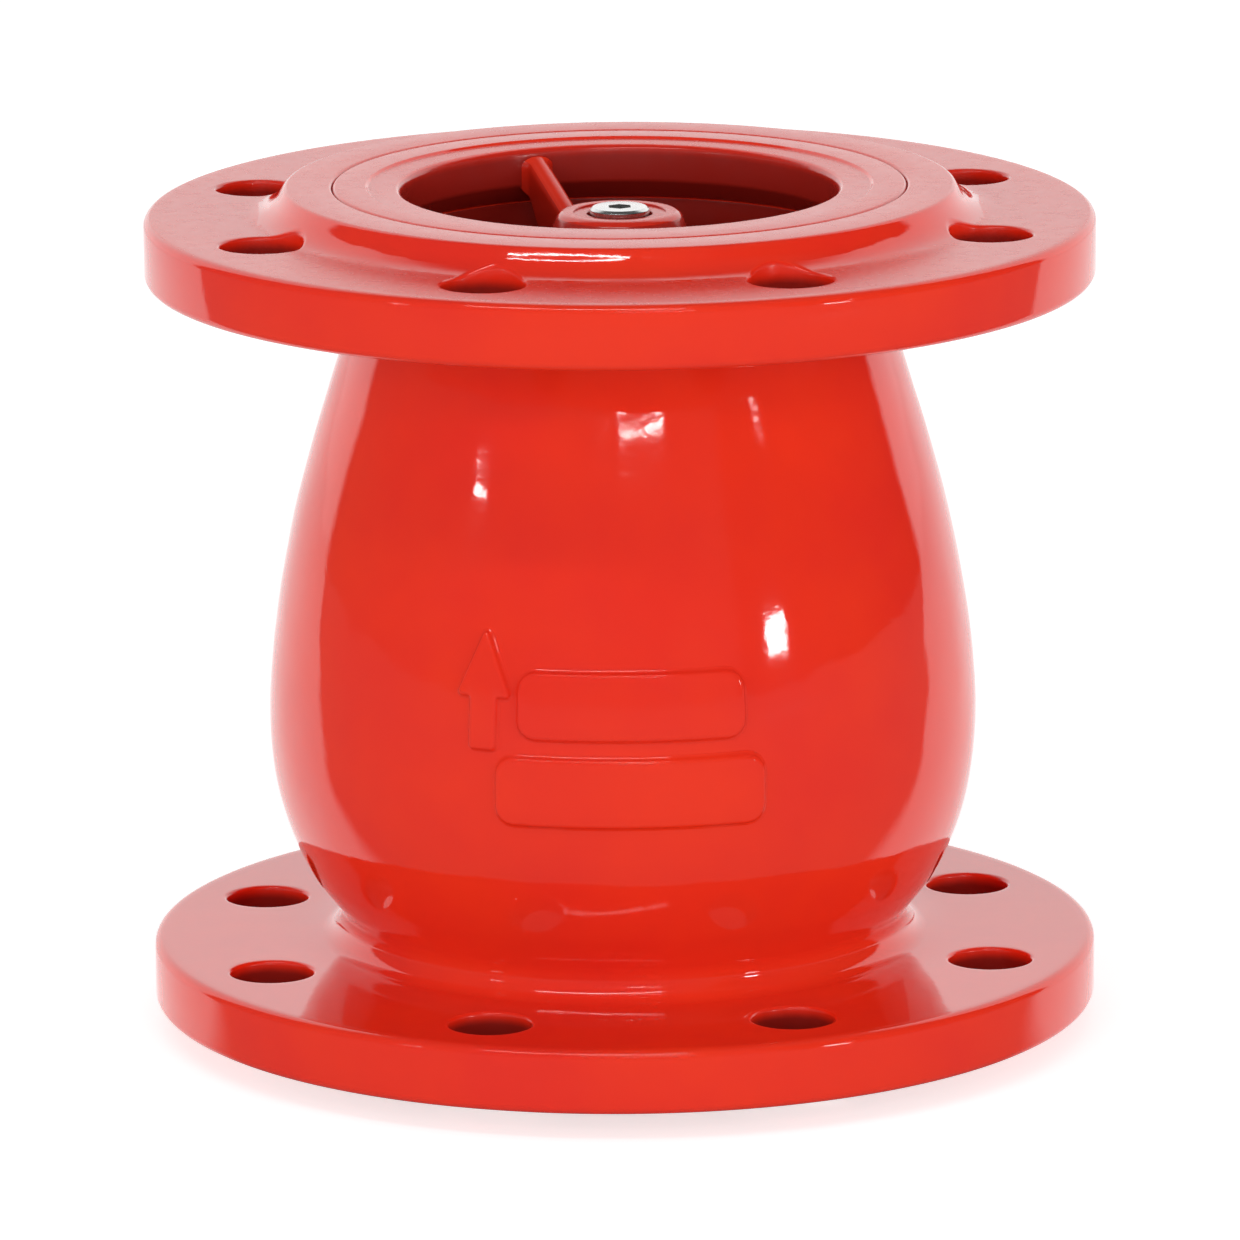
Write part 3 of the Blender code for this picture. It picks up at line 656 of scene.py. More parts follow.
def swell_casting(mesh):
    """Gives the barrel the slight waviness of a sand casting."""
    low, high = INLET_BACK_Z, OUTLET_BACK_Z
    for vert in mesh.verts:
        spot = vert.co
        if not low < spot.z < high or spot.xy.length < barrel_radius(spot.z) - WALL / 2:
            continue
        share = min(1.0, min(spot.z - low, high - spot.z) / INLET_FILLET)
        wave = noise.noise(spot / CAST_SWELL_LENGTH)
        wave += 0.35 * noise.noise(spot * 2.7 / CAST_SWELL_LENGTH)
        away = Vector((spot.x, spot.y, 0)).normalized()
        vert.co += away * CAST_SWELL * wave * share


def finish_faces(thing, material, chosen):
    """Gives the faces that the test chooses, by centre and normal, a finish of their own."""
    thing.data.materials.append(material)
    slot = len(thing.data.materials) - 1
    for polygon in thing.data.polygons:
        if chosen(polygon.center, polygon.normal):
            polygon.material_index = slot


def is_machined(centre, normal):
    """The level outer faces of the flanges and of the hub."""
    margin = RAISED_HEIGHT + BOLT_EDGE_ROUND
    return abs(normal.z) > 0.97 and not margin <= centre.z <= TOP_Z - margin


def is_bolt_hole(centre, normal):
    """The walls of the bolt holes: upright, or part of the rounding at their edges."""
    step = 2 * pi / BOLT_COUNT
    turns = round((atan2(centre.y, centre.x) - FIRST_BOLT_ANGLE) / step)
    angle = FIRST_BOLT_ANGLE + turns * step
    bolt = Vector((BOLT_CIRCLE_R * cos(angle), BOLT_CIRCLE_R * sin(angle)))
    in_flange = not INLET_BACK_Z < centre.z < OUTLET_BACK_Z
    return in_flange and (centre.xy - bolt).length < BOLT_HOLE_R + GAP


def is_inside(centre, normal):
    """The walls of the cavity and of the bore, up to the edge of the outlet."""
    reach = barrel_radius(min(max(centre.z, INLET_BACK_Z), OUTLET_BACK_Z)) - WALL / 2
    inward = centre.x * normal.x + centre.y * normal.y < 0
    return inward and centre.xy.length < reach and GAP < centre.z < TOP_Z - BORE_EDGE_ROUND / 2


def is_bore(centre, normal):
    """The bore of the guide's ring, without the arms."""
    return is_inside(centre, normal) and centre.xy.length > OUTLET_BORE_R - GAP


def is_arm_side(centre, normal):
    """The uprights and undersides of the guide's arms and hub."""
    return centre.xy.length < OUTLET_BORE_R - GAP and normal.z < 0.5


def make_body(red, red_face, painted_shade_cavity, painted_shade_holes):
    outlet_face = TOP_Z - RAISED_HEIGHT
    pocket_z = TOP_Z - GUIDE_RING_HEIGHT - GAP
    groove_z = TOP_Z - GUIDE_RING_HEIGHT / 2
    slope_z = raised_height(PLATE_INNER_R)
    mesh = bmesh.new()

    cavity = evenly(OUTLET_BACK_Z - OUTLET_FILLET, SEAT_THROAT_TOP, CAVITY_STEPS)
    lining = [
        (PLATE_INNER_R, outlet_face + slope_z), (RAISED_R, TOP_Z, RAISED_EDGE_ROUND),
        (GUIDE_RING_R + GROOVE_GAP, TOP_Z, GROOVE_ROUND), (GUIDE_RING_R + GROOVE_GAP, groove_z),
        (GUIDE_RING_R + GAP, groove_z), (GUIDE_RING_R + GAP, pocket_z),
        (OUTLET_THROAT_R, pocket_z, EDGE_R),
    ]
    lining += [(max(barrel_radius(z) - WALL, OUTLET_THROAT_R), z) for z in cavity]
    lining += [
        (SEAT_THROAT_R, SEAT_THROAT_TOP, EDGE_R), (SEAT_THROAT_R, SEAT_POCKET_Z),
        (SEAT_HIGH.x + GAP, SEAT_POCKET_Z), (SEAT_HIGH.x + GAP, 0, EDGE_R),
        (RAISED_R, 0, RAISED_EDGE_ROUND), (PLATE_INNER_R, RAISED_HEIGHT - slope_z),
    ]
    turn(mesh, outline(lining, False), False, TURN_STEPS)

    for low, high in ((RAISED_HEIGHT, INLET_BACK_Z), (OUTLET_BACK_Z, outlet_face)):
        lower = [(PLATE_OUTER_R, low), (FLANGE_R, low, RIM_ROUND)]
        upper = [(FLANGE_R, high, RIM_ROUND), (PLATE_OUTER_R, high)]
        turn(mesh, outline(lower + upper, False), False, TURN_STEPS)

    barrel = evenly(INLET_BACK_Z + 3 * INLET_FILLET, OUTLET_BACK_Z - 2 * OUTLET_FILLET, BARREL_STEPS)
    skin = [(PLATE_INNER_R, INLET_BACK_Z), (barrel_radius(INLET_BACK_Z), INLET_BACK_Z, INLET_FILLET)]
    skin += [(barrel_radius(z), z) for z in barrel]
    skin += [(barrel_radius(OUTLET_BACK_Z), OUTLET_BACK_Z, OUTLET_FILLET), (PLATE_INNER_R, OUTLET_BACK_Z)]
    turn(mesh, outline(skin, False, 8), False, TURN_STEPS)

    add_flange_plates(mesh, lambda r: RAISED_HEIGHT - raised_height(r), lambda r: INLET_BACK_Z)
    add_flange_plates(mesh, lambda r: OUTLET_BACK_Z, lambda r: outlet_face + raised_height(r))
    bmesh.ops.remove_doubles(mesh, verts=mesh.verts, dist=1e-6)
    swell_casting(mesh)
    body = settle("valve_body", mesh, red)
    finish_faces(body, red_face, is_machined)
    # Painted shade: the walls of the cavity and of the bolt holes take a red that is dark deep inside.
    finish_faces(body, painted_shade_cavity, is_inside)
    finish_faces(body, painted_shade_holes, is_bolt_hole)
    return body


# Outlet guide
def hub_radius(z):
    """Bell of the guide's hub, widening from its top to an upright rim."""
    along = min(max((HUB_TOP_Z - z) / (HUB_TOP_Z - HUB_BOTTOM_Z), 0), 1)
    return HUB_TOP_R + (HUB_BOTTOM_R - HUB_TOP_R) * sin(along * pi / 2)


def fillet_swell(distance):
    """How far a surface swells out at a distance from the wall that it runs into."""
    near = min(max(distance, 0), ARM_FILLET)
    return ARM_FILLET - sqrt(ARM_FILLET**2 - (ARM_FILLET - near) ** 2)


def arm_section(x):
    """Outline of the arm at a distance from the axis: points (y, z) with their outward ways."""
    top = TOP_Z - ARM_RIM_DROP - (OUTLET_BORE_R - x) * ARM_SLOPE
    hub_end = CUP_R + GAP
    ring_end = (OUTLET_BORE_R + OUTLET_THROAT_R) / 2
    rise = (ARM_FOOT_AT_RING - ARM_FOOT_AT_HUB) / (ring_end - hub_end)
    foot = max(ARM_FOOT_AT_HUB + (x - hub_end) * rise, CUP_CEILING_Z + 2 * ARM_ROUND)
    half = ARM_THICKNESS / 2
    points = []
    for side, step, low, high in ((1, 1, foot, top), (-1, -1, top, foot)):
        start, end = low + step * ARM_ROUND, high - step * ARM_ROUND
        spots = [(start, angle) for angle in evenly(-pi / 2, 0, ARC_STEPS)]
        spots += [(z, 0) for z in evenly(start, end, 8)[1:-1]]
        spots += [(end, angle) for angle in evenly(0, pi / 2, ARC_STEPS)]
        for z, angle in spots:
            way = (side * cos(angle), step * sin(angle))
            points.append((side * (half - ARM_ROUND), z, way))
    return points


def make_arm(name, angle):
    """An arm of the guide, its ends swelling into the hub and the ring like a cast fillet."""
    mesh = bmesh.new()
    rows = []
    for x in evenly(0.6 * HUB_BOTTOM_R, OUTLET_BORE_R + 0.002, 48):
        row = []
        for base_y, base_z, way in arm_section(x):
            y = base_y + way[0] * ARM_ROUND
            z = base_z + way[1] * ARM_ROUND
            for _ in range(4):
                at_hub = fillet_swell(hypot(x, y) - hub_radius(z))
                at_ring = 0.6 * fillet_swell((OUTLET_BORE_R - hypot(x, y)) / 0.6)
                y = base_y + way[0] * (ARM_ROUND + at_hub + at_ring)
                z = base_z + way[1] * (ARM_ROUND + at_hub)
            row.append(mesh.verts.new((x, y, z)))
        rows.append(row)
    bridge(mesh, rows)
    mesh.faces.new(rows[0])
    mesh.faces.new(rows[-1])
    bmesh.ops.rotate(mesh, verts=mesh.verts, matrix=Matrix.Rotation(angle, 3, "Z"))
    return settle(name, mesh, None)


def make_guide_spider(red, red_face, painted_shade_cavity, painted_shade_arms):
    land = TOP_Z - GUIDE_LAND_DROP
    base = TOP_Z - GUIDE_RING_HEIGHT
    ring = [
        (GUIDE_RING_R, base, EDGE_R), (GUIDE_RING_R, TOP_Z, GROOVE_ROUND),
        (GUIDE_LAND_R + GUIDE_LAND_DROP, TOP_Z, EDGE_R), (GUIDE_LAND_R, land, EDGE_R),
        (OUTLET_BORE_R, land, BORE_EDGE_ROUND),
        (OUTLET_BORE_R, base + OUTLET_THROAT_R - OUTLET_BORE_R, BORE_EDGE_ROUND),
        (OUTLET_THROAT_R, base, EDGE_R),
    ]
    bell = evenly(HUB_TOP_Z, HUB_BOTTOM_Z, BELL_STEPS)[2:]
    hub = [(HUB_TOP_R, HUB_TOP_Z, HUB_ROUND)] + [(hub_radius(z), z) for z in bell] + [
        (CUP_R, HUB_BOTTOM_Z, EDGE_R), (CUP_R, CUP_CEILING_Z), (ROD_R + GAP, CUP_CEILING_Z),
        (ROD_R + GAP, ROD_TOP_Z + GAP), (ROD_SCREW_R + GAP, ROD_TOP_Z + GAP),
        (ROD_SCREW_R + GAP, COUNTERBORE_Z), (COUNTERBORE_R, COUNTERBORE_Z),
        (COUNTERBORE_R, HUB_TOP_Z - SPOT_FACE_DEPTH, EDGE_R),
        (SPOT_FACE_R, HUB_TOP_Z - SPOT_FACE_DEPTH), (SPOT_FACE_R, HUB_TOP_Z, EDGE_R),
    ]
    spider = turned("outlet_guide", ring, red, steps=TURN_STEPS)
    angles = enumerate(angles_round(ARM_COUNT, FIRST_ARM_ANGLE), 1)
    arms = [make_arm(f"arm_{number}", angle) for number, angle in angles]
    guide = carve(spider, "UNION", turned("hub", hub, None), *arms)
    finish_faces(guide, red_face, is_machined)
    # Painted shade: the bore and the arms' sides and undersides take a red that darkens lower down.
    finish_faces(guide, painted_shade_cavity, is_bore)
    finish_faces(guide, painted_shade_arms, is_arm_side)
    return guide


# Rod and its fasteners
def make_rod_screw(material):
    """Cap screw with a flat round head and a hexagon socket."""
    low, top = SCREW_HEAD_Z, SCREW_HEAD_Z + SCREW_HEAD_HEIGHT
    end = low - SCREW_SHANK_LENGTH
    head = [
        (0, top), (0.90 * SCREW_HEAD_R, top, 0.0003),
        (SCREW_HEAD_R, low + 0.86 * SCREW_HEAD_HEIGHT, 0.0003), (SCREW_HEAD_R, low, 0.0002),
        (ROD_SCREW_R, low), (ROD_SCREW_R, end + 0.001, EDGE_R), (0.8 * ROD_SCREW_R, end),
        (0, end),
    ]
    screw = turned("hub_screw", head, material, closed=False)
    socket = prism("socket", SCREW_SOCKET_R, top - SCREW_SOCKET_DEPTH, top + 0.002, 6)
    return carve(screw, "DIFFERENCE", socket)


def make_rod(material):
    bore, bottom = ROD_SCREW_R + GAP, SCREW_HEAD_Z - SCREW_SHANK_LENGTH - GAP
    shoulder, end = CUP_CEILING_Z - GAP, RETAINER_LOW.z - 2 * GAP
    shaft = [
        (0, bottom), (bore, bottom), (bore, ROD_HIGH.z, EDGE_R), (ROD_R, ROD_HIGH.z, EDGE_R),
        (ROD_R, shoulder), (ROD_SHOULDER_R, shoulder, EDGE_R),
        (ROD_SHOULDER_R, ROD_STOP_Z, EDGE_R), (ROD_R, ROD_STOP_Z), (ROD_R, end, EDGE_R),
        (ROD_STUD_R, end), (ROD_STUD_R, ROD_LOW.z, 0.0006), (0, ROD_LOW.z),
    ]
    return turned("sliding_rod", shaft, material, closed=False)


def make_rod_nut(material):
    """Hexagon nut with its corners turned off at both faces."""
    low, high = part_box("rod_end_nut")
    radius = high.x
    hexagon = prism("nut", radius, low.z, high.z, 6)
    fall = 0.0010
    barrel = [
        (ROD_STUD_R + GAP, low.z, EDGE_R), (0.87 * radius, low.z),
        (1.02 * radius, low.z + fall), (1.02 * radius, high.z - fall), (0.87 * radius, high.z),
        (ROD_STUD_R + GAP, high.z, EDGE_R),
    ]
    return carve(turned("end_nut", barrel, material), "INTERSECT", hexagon)


def make_ring(name, node, inner, material):
    """A flat ring with softened edges that fills a washer's or bush's own box."""
    low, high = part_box(node)
    corners = ((inner, low.z), (high.x, low.z), (high.x, high.z), (inner, high.z))
    return turned(name, [(*corner, 0.0002) for corner in corners], material)


# Seat, disc and spring
def make_seat(material):
    throat = SEAT_THROAT_R - GAP
    shoulder = SEAT_HIGH.z - 0.0015
    lip = SEAT_BORE_R + 0.00075
    groove_z = SEAT_POCKET_Z + 0.0065
    ring = [
        (SEAT_ENTRY_R, GAP, EDGE_R), (SEAT_HIGH.x, GAP, EDGE_R),
        (SEAT_HIGH.x, SEAT_POCKET_Z - GAP, EDGE_R), (throat, SEAT_POCKET_Z - GAP),
        (throat, groove_z - 0.0015), (throat - 0.0027, groove_z - 0.0015),
        (throat - 0.0027, groove_z + 0.0015), (throat, groove_z + 0.0015),
        (throat, shoulder, EDGE_R), (lip + 0.002, shoulder), (lip + 0.002, SEAT_HIGH.z, EDGE_R),
        (lip, SEAT_HIGH.z, EDGE_R), (SEAT_BORE_R, shoulder, EDGE_R),
        (SEAT_BORE_R, SEAT_POCKET_Z / 2, 0.004),
    ]
    seat = turned("seat", ring, material, steps=TURN_STEPS // 2)
    slots = []
    reach = (SEAT_BORE_R + SEAT_HIGH.x) / 2
    size = Matrix.Diagonal((reach, SPANNER_SLOT_WIDTH, 2 * SPANNER_SLOT_DEPTH, 1))
    for number, angle in enumerate(angles_round(SPANNER_SLOT_COUNT), 1):
        mesh = bmesh.new()
        where = Matrix.Rotation(angle, 4, "Z") @ Matrix.Translation((reach / 2, 0, 0))
        bmesh.ops.create_cube(mesh, size=1, matrix=where @ size)
        slots.append(settle(f"slot_{number}", mesh, None))
    return carve(seat, "DIFFERENCE", *slots)


def make_disc(material):
    base = CLOSED_Z
    lip_r = DISC_R - DISC_LIP_WIDTH
    dome_r = (DISC_R + CUP_R) / 2
    underside = base + SEAL_THICKNESS + GAP
    rim_z, seat_z, lip_z = base + SEAL_PROUD, base + SPRING_SEAT_HEIGHT, base + SPRING_SEAT_LIP
    hub_z = base + DISC_HUB_HEIGHT
    hollow_r = 2 * SPRING_R - CUP_R
    profile = [
        (DISC_HUB_BORE_R, base, EDGE_R), (DISC_BOSS_R, base, EDGE_R), (DISC_BOSS_R, underside),
        (lip_r, underside), (lip_r, rim_z, EDGE_R), (DISC_R, rim_z, EDGE_R),
        (DISC_R, rim_z + DISC_RIM_HEIGHT, 0.0012), (dome_r, lip_z - 0.0012, 0.02),
        (CUP_R + 0.0012, lip_z, 0.0008), (CUP_R, seat_z), (hollow_r, seat_z),
        (DISC_HUB_FOOT_R, lip_z, 0.002), (DISC_HUB_R, hub_z, 0.0012),
        (ROD_HOLE_R, hub_z, EDGE_R), (ROD_HOLE_R, hub_z - DISC_HUB_CAP),
        (DISC_HUB_BORE_R, hub_z - DISC_HUB_CAP),
    ]
    return turned("closing_disc_plate", profile, material, steps=TURN_STEPS // 2)


def screw_spots():
    radius = RETAINER_SCREW_CIRCLE_R
    return [(radius * cos(a), radius * sin(a)) for a in angles_round(RETAINER_SCREW_COUNT)]


def make_retainer(material):
    low, high = RETAINER_LOW.z, RETAINER_HIGH.z
    plate = [
        (ROD_HOLE_R, low, EDGE_R), (RETAINER_HIGH.x, low, 0.0012),
        (RETAINER_HIGH.x, high, EDGE_R), (ROD_HOLE_R, high, EDGE_R),
    ]
    retainer = turned("seal_plate", plate, material, steps=TURN_STEPS // 2)
    head = RETAINER_SCREW_HEAD_R + GAP
    shank = RETAINER_SCREW_R + GAP
    drills = []
    for index, (x, y) in enumerate(screw_spots()):
        profile = [
            (0, low - 0.001),
            (head, low - 0.001),
            (head, low),
            (shank, low + head - shank),
            (shank, high + 0.001),
            (0, high + 0.001),
        ]
        drill = turned(f"drill_{index + 1}", profile, None, closed=False, steps=FINE_STEPS // 2)
        drill.data.transform(Matrix.Translation((x, y, 0)))
        drills.append(drill)
    return carve(retainer, "DIFFERENCE", *drills)


def make_retainer_screw(index, x, y, material):
    low = RETAINER_LOW.z
    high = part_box(f"retainer_screw_{index}")[1].z
    profile = [
        (0, low), (RETAINER_SCREW_HEAD_R, low, 0.0002),
        (RETAINER_SCREW_R, low + RETAINER_SCREW_HEAD_R - RETAINER_SCREW_R),
        (RETAINER_SCREW_R, high, EDGE_R), (0, high),
    ]
    screw = turned(f"countersunk_screw_{index}", profile, material, closed=False, steps=FINE_STEPS // 2)
    socket = prism("socket", RETAINER_SOCKET_R, low - 0.001, low + RETAINER_SOCKET_DEPTH, 6)
    screw = carve(screw, "DIFFERENCE", socket)
    screw.data.transform(Matrix.Translation((x, y, 0)))
    return screw


def spring_height(turns, low, high):
    """Height of the wire's middle after so many turns: close-wound end turns, even ones between."""
    close_pitch = 2 * SPRING_WIRE_R + GAP
    if turns < 1:
        return low + close_pitch * turns
    if turns > SPRING_TURNS + 1:
        return high - close_pitch * (SPRING_TURNS + 2 - turns)
    open_low, open_high = low + close_pitch, high - close_pitch
    return open_low + (open_high - open_low) * (turns - 1) / SPRING_TURNS


def make_spring(material):
    """Coil with close-wound ends that are ground flat."""
    around_steps, wire_steps = 60, 14
    ground = 0.35 * SPRING_WIRE_R
    low = SPRING_LOW.z + SPRING_WIRE_R - ground
    high = SPRING_HIGH.z - SPRING_WIRE_R + ground
    mesh = bmesh.new()
    rows = []
    for step in range((SPRING_TURNS + 2) * around_steps + 1):
        turns = step / around_steps
        angle = 2 * pi * turns
        z = spring_height(turns, low, high)
        spots = []
        for side in angles_round(wire_steps):
            r = SPRING_R + SPRING_WIRE_R * cos(side)
            height = min(max(z + SPRING_WIRE_R * sin(side), SPRING_LOW.z), SPRING_HIGH.z)
            spots.append((r * cos(angle), r * sin(angle), height))
        rows.append(add_row(mesh, spots))
    bridge(mesh, rows)
    mesh.faces.new(rows[0])
    mesh.faces.new(rows[-1])
    return settle("coil_spring", mesh, material)


# Raised marks
def on_barrel(angle, across, z, height):
    """A point on the barrel, so far round from an angle and so high above the surface."""
    step = 0.0005
    slope = (barrel_radius(z + step) - barrel_radius(z - step)) / (2 * step)
    tilt = atan(slope)
    radius = barrel_radius(z) + height * cos(tilt)
    turn_angle = angle + across / BELLY_R
    place_z = z - height * sin(tilt)
    return Vector((radius * cos(turn_angle), radius * sin(turn_angle), place_z))


def grown(points, offset):
    """A closed counterclockwise outline moved outward by an offset."""
    moved = []
    for index, here in enumerate(points):
        before = (here - points[index - 1]).normalized()
        after = (points[(index + 1) % len(points)] - here).normalized()
        way = Vector((before.y + after.y, -before.x - after.x)).normalized()
        moved.append(here + way * offset / max(way.dot(Vector((before.y, -before.x))), 0.5))
    return moved


def divided(points, pitch):
    """A closed outline with points put in along its long edges."""
    finer = []
    for index, here in enumerate(points):
        ahead = points[(index + 1) % len(points)]
        parts = max(1, round((ahead - here).length / pitch))
        finer += [here.lerp(ahead, part / parts) for part in range(parts)]
    return finer


def make_mark(name, corners, angle, material):
    """A low raised shape on the barrel, with edges that run into it like a cast and painted mark."""
    shape = divided(outline(corners, True, 4), MARK_PITCH)
    foot = [(0.0011, -0.0006), (0.0010, 0.0)]
    flank = [(0.00055, 0.12), (0.00025, 0.38), (0.0, 0.75), (-0.0003, 0.94)]
    mesh = bmesh.new()
    rows = []
    for offset, share in foot + flank:
        height = share * MARK_HEIGHT if share >= 0 else share
        rows.append(add_row(mesh, [on_barrel(angle, p.x, p.y, height) for p in grown(shape, offset)]))
    bridge(mesh, rows)
    mesh.faces.new(rows[0])

    rim = grown(shape, -0.0008)
    left, right = min(point.x for point in rim), max(point.x for point in rim)
    low, high = min(point.y for point in rim), max(point.y for point in rim)
    inside = []
    for column in range(int((right - left) / MARK_PITCH) + 1):
        for line in range(int((high - low) / MARK_PITCH) + 1):
            inside.append(Vector((left + column * MARK_PITCH, low + line * MARK_PITCH)))
    loop = [(index, (index + 1) % len(rim)) for index in range(len(rim))]
    flat = geometry.delaunay_2d_cdt(rim + inside, loop, [], 1, 1e-6)
    top = add_row(mesh, [on_barrel(angle, point.x, point.y, MARK_HEIGHT) for point in flat[0]])
    for corners_of_face in flat[2]:
        mesh.faces.new([top[corner] for corner in corners_of_face])
    lip = []
    for point in rim:
        spot = on_barrel(angle, point.x, point.y, MARK_HEIGHT)
        lip.append(min(top, key=lambda vert: (vert.co - spot).length))
    bridge(mesh, [rows[-1], lip])
    return settle(name, mesh, material)


def make_flow_arrow(material):
    half_head = ARROW_HEAD_WIDTH / 2
    half_stem = ARROW_STEM_WIDTH / 2
    neck = ARROW_FOOT_Z + ARROW_HEIGHT - ARROW_HEAD_HEIGHT
    corners = [
        (-half_stem, ARROW_FOOT_Z, 0.001), (half_stem, ARROW_FOOT_Z, 0.001),
        (half_stem, neck, 0.0008), (half_head, neck, 0.0008),
        (0, ARROW_FOOT_Z + ARROW_HEIGHT, 0.0008), (-half_head, neck, 0.0008),
        (-half_stem, neck, 0.0008),
    ]
    return make_mark("flow_arrow", corners, ARROW_ANGLE, material)


def make_blank_bar(name, first, last, low, high, material):
    """A plain raised bar where the casting leaves room for its marks."""
    middle = radians((first + last) / 2)
    half = radians(last - first) / 2 * BELLY_R
    corners = [(x, z, BAR_CORNER_R) for x, z in ((-half, low), (half, low), (half, high), (-half, high))]
    return make_mark(name, corners, middle, material)


# Stage
def mix_node(tree, share, first, second):
    """The first number where the share is 0, the second where it is 1."""
    node = tree.nodes.new("ShaderNodeMix")
    feed(tree, ((node.inputs[0], share), (node.inputs[2], first), (node.inputs[3], second)))
    return node.outputs[0]


def ramp_node(tree, value, start, end, low=0.0, high=1.0):
    """Goes smoothly from low to high while the value goes from start to end."""
    node = tree.nodes.new("ShaderNodeMapRange")
    node.interpolation_type = "SMOOTHSTEP"
    for name, number in (("From Min", start), ("From Max", end), ("To Min", low), ("To Max", high)):
        node.inputs[name].default_value = number
    tree.links.new(value, node.inputs["Value"])
    return node.outputs["Result"]


def toward(tree, split, azimuth):
    """How far a place or way reaches toward an azimuth, counted from straight behind the object."""
    angle = CAMERA_AZIMUTH + azimuth
    across = math_node(tree, "MULTIPLY", split.outputs["X"], -sin(angle))
    along = math_node(tree, "MULTIPLY", split.outputs["Y"], cos(angle))
    return math_node(tree, "ADD", across, along)


def ray_kinds(tree):
    """Whether a ray is the camera's, also through glass, and whether it is a reflection."""
    path = tree.nodes.new("ShaderNodeLightPath")
    seen = math_node(tree, "MAXIMUM", path.outputs["Is Camera Ray"], path.outputs["Is Transmission Ray"])
    return seen, path.outputs["Is Glossy Ray"]


def make_floor():
    """White floor that keeps the shadow, and that reflections see dimmer in front of the object."""
    mesh = bmesh.new()
    bmesh.ops.create_grid(mesh, x_segments=1, y_segments=1, size=FLOOR_HALF_SIZE)
    material, shader = new_material("pale_floor", (FLOOR_WHITE,) * 3, 0.9)
    shader.inputs["Specular IOR Level"].default_value = 0.0
    tree = material.node_tree
    seen, glossy = ray_kinds(tree)
    lift = add_node(material, "ShaderNodeEmission")
    strength = math_node(tree, "MULTIPLY", math_node(tree, "MAXIMUM", seen, glossy), FLOOR_LIFT)
    tree.links.new(strength, lift.inputs["Strength"])
    lit = tree.nodes.new("ShaderNodeAddShader")
    tree.links.new(shader.outputs["BSDF"], lit.inputs[0])
    tree.links.new(lift.outputs["Emission"], lit.inputs[1])

    geometry_node = tree.nodes.new("ShaderNodeNewGeometry")
    split = tree.nodes.new("ShaderNodeSeparateXYZ")
    tree.links.new(geometry_node.outputs["Position"], split.inputs["Vector"])
    squares = [math_node(tree, "MULTIPLY", split.outputs[axis], split.outputs[axis]) for axis in "XY"]
    radius = math_node(tree, "SQRT", math_node(tree, "ADD", *squares))
    spread = math_node(tree, "MULTIPLY", radius, FLOOR_EDGE_SPREAD)
    reach = math_node(tree, "SUBTRACT", toward(tree, split, 0), spread)
    front = ramp_node(tree, reach, *FLOOR_EDGE, FLOOR_DIMMED, 0.0)
    black = add_node(material, "ShaderNodeEmission", Strength=0.0)
    mix = tree.nodes.new("ShaderNodeMixShader")
    tree.links.new(math_node(tree, "MULTIPLY", front, glossy), mix.inputs["Fac"])
    tree.links.new(lit.outputs["Shader"], mix.inputs[1])
    tree.links.new(black.outputs["Emission"], mix.inputs[2])
    tree.links.new(mix.outputs["Shader"], tree.nodes["Material Output"].inputs["Surface"])
    floor = settle("floor", mesh, material)


def make_world():
    """Light that comes mostly from the sides; reflections see white behind the object, dim in front."""
    world = bpy.data.worlds.new("studio")
    world.use_nodes = True
    bpy.context.scene.world = world
    tree = world.node_tree
    tree.nodes.clear()
    coordinates = tree.nodes.new("ShaderNodeTexCoord")
    split = tree.nodes.new("ShaderNodeSeparateXYZ")
    tree.links.new(coordinates.outputs["Generated"], split.inputs["Vector"])
    z = split.outputs["Z"]
    level = math_node(tree, "SQRT", math_node(tree, "SUBTRACT", 1.0, math_node(tree, "MULTIPLY", z, z)))
    level = math_node(tree, "MAXIMUM", level, 0.001)
    behind = math_node(tree, "DIVIDE", toward(tree, split, 0), level)
    aside = math_node(tree, "DIVIDE", toward(tree, split, -pi / 2), level)
    front = ramp_node(tree, aside, *RIGHT_STARTS, FRONT_LEVEL, RIGHT_LEVEL)
    wall = mix_node(tree, ramp_node(tree, behind, *BACK_STARTS), front, BACK_LEVEL)
    reflected = mix_node(tree, ramp_node(tree, z, *OVERHEAD_STARTS), wall, OVERHEAD_LEVEL)
    share = ramp_node(tree, behind, -1.0, 1.0, LIGHT_FROM_FRONT, LIGHT_FROM_BACK)
    sides = math_node(tree, "MULTIPLY", share, SIDE_LIGHT)
    plain = mix_node(tree, ramp_node(tree, z, *TOP_LIGHT_STARTS), sides, TOP_LIGHT)
    seen, glossy = ray_kinds(tree)
    unseen = mix_node(tree, glossy, plain, reflected)
    light = tree.nodes.new("ShaderNodeBackground")
    tree.links.new(mix_node(tree, seen, unseen, 1.0), light.inputs["Strength"])
    output = tree.nodes.new("ShaderNodeOutputWorld")
    tree.links.new(light.outputs["Background"], output.inputs["Surface"])


def direction(azimuth, elevation):
    """Unit way out from the object; its azimuth, in radians, counts from the camera's."""
    turn_angle = CAMERA_AZIMUTH + azimuth
    level = cos(elevation)
    return Vector((sin(turn_angle) * level, -cos(turn_angle) * level, sin(elevation)))


def make_softbox(name, azimuth, elevation, width, height, radiance):
    """A small bright panel that faces the object; its angles are degrees, seen from the object."""
    lamp = bpy.data.lights.new(name, "AREA")
    lamp.shape = "RECTANGLE"
    lamp.size = 2 * PANEL_DISTANCE * tan(radians(width / 2))
    lamp.size_y = 2 * PANEL_DISTANCE * tan(radians(height / 2))
    lamp.energy = radiance * pi * lamp.size * lamp.size_y
    way = direction(radians(azimuth), radians(elevation))
    panel = bpy.data.objects.new(name, lamp)
    panel.location = Vector((0, 0, CAMERA_TARGET_Z)) + way * PANEL_DISTANCE
    panel.rotation_euler = way.to_track_quat("Z", "Y").to_euler()
    panel.visible_camera = False
    bpy.context.collection.objects.link(panel)


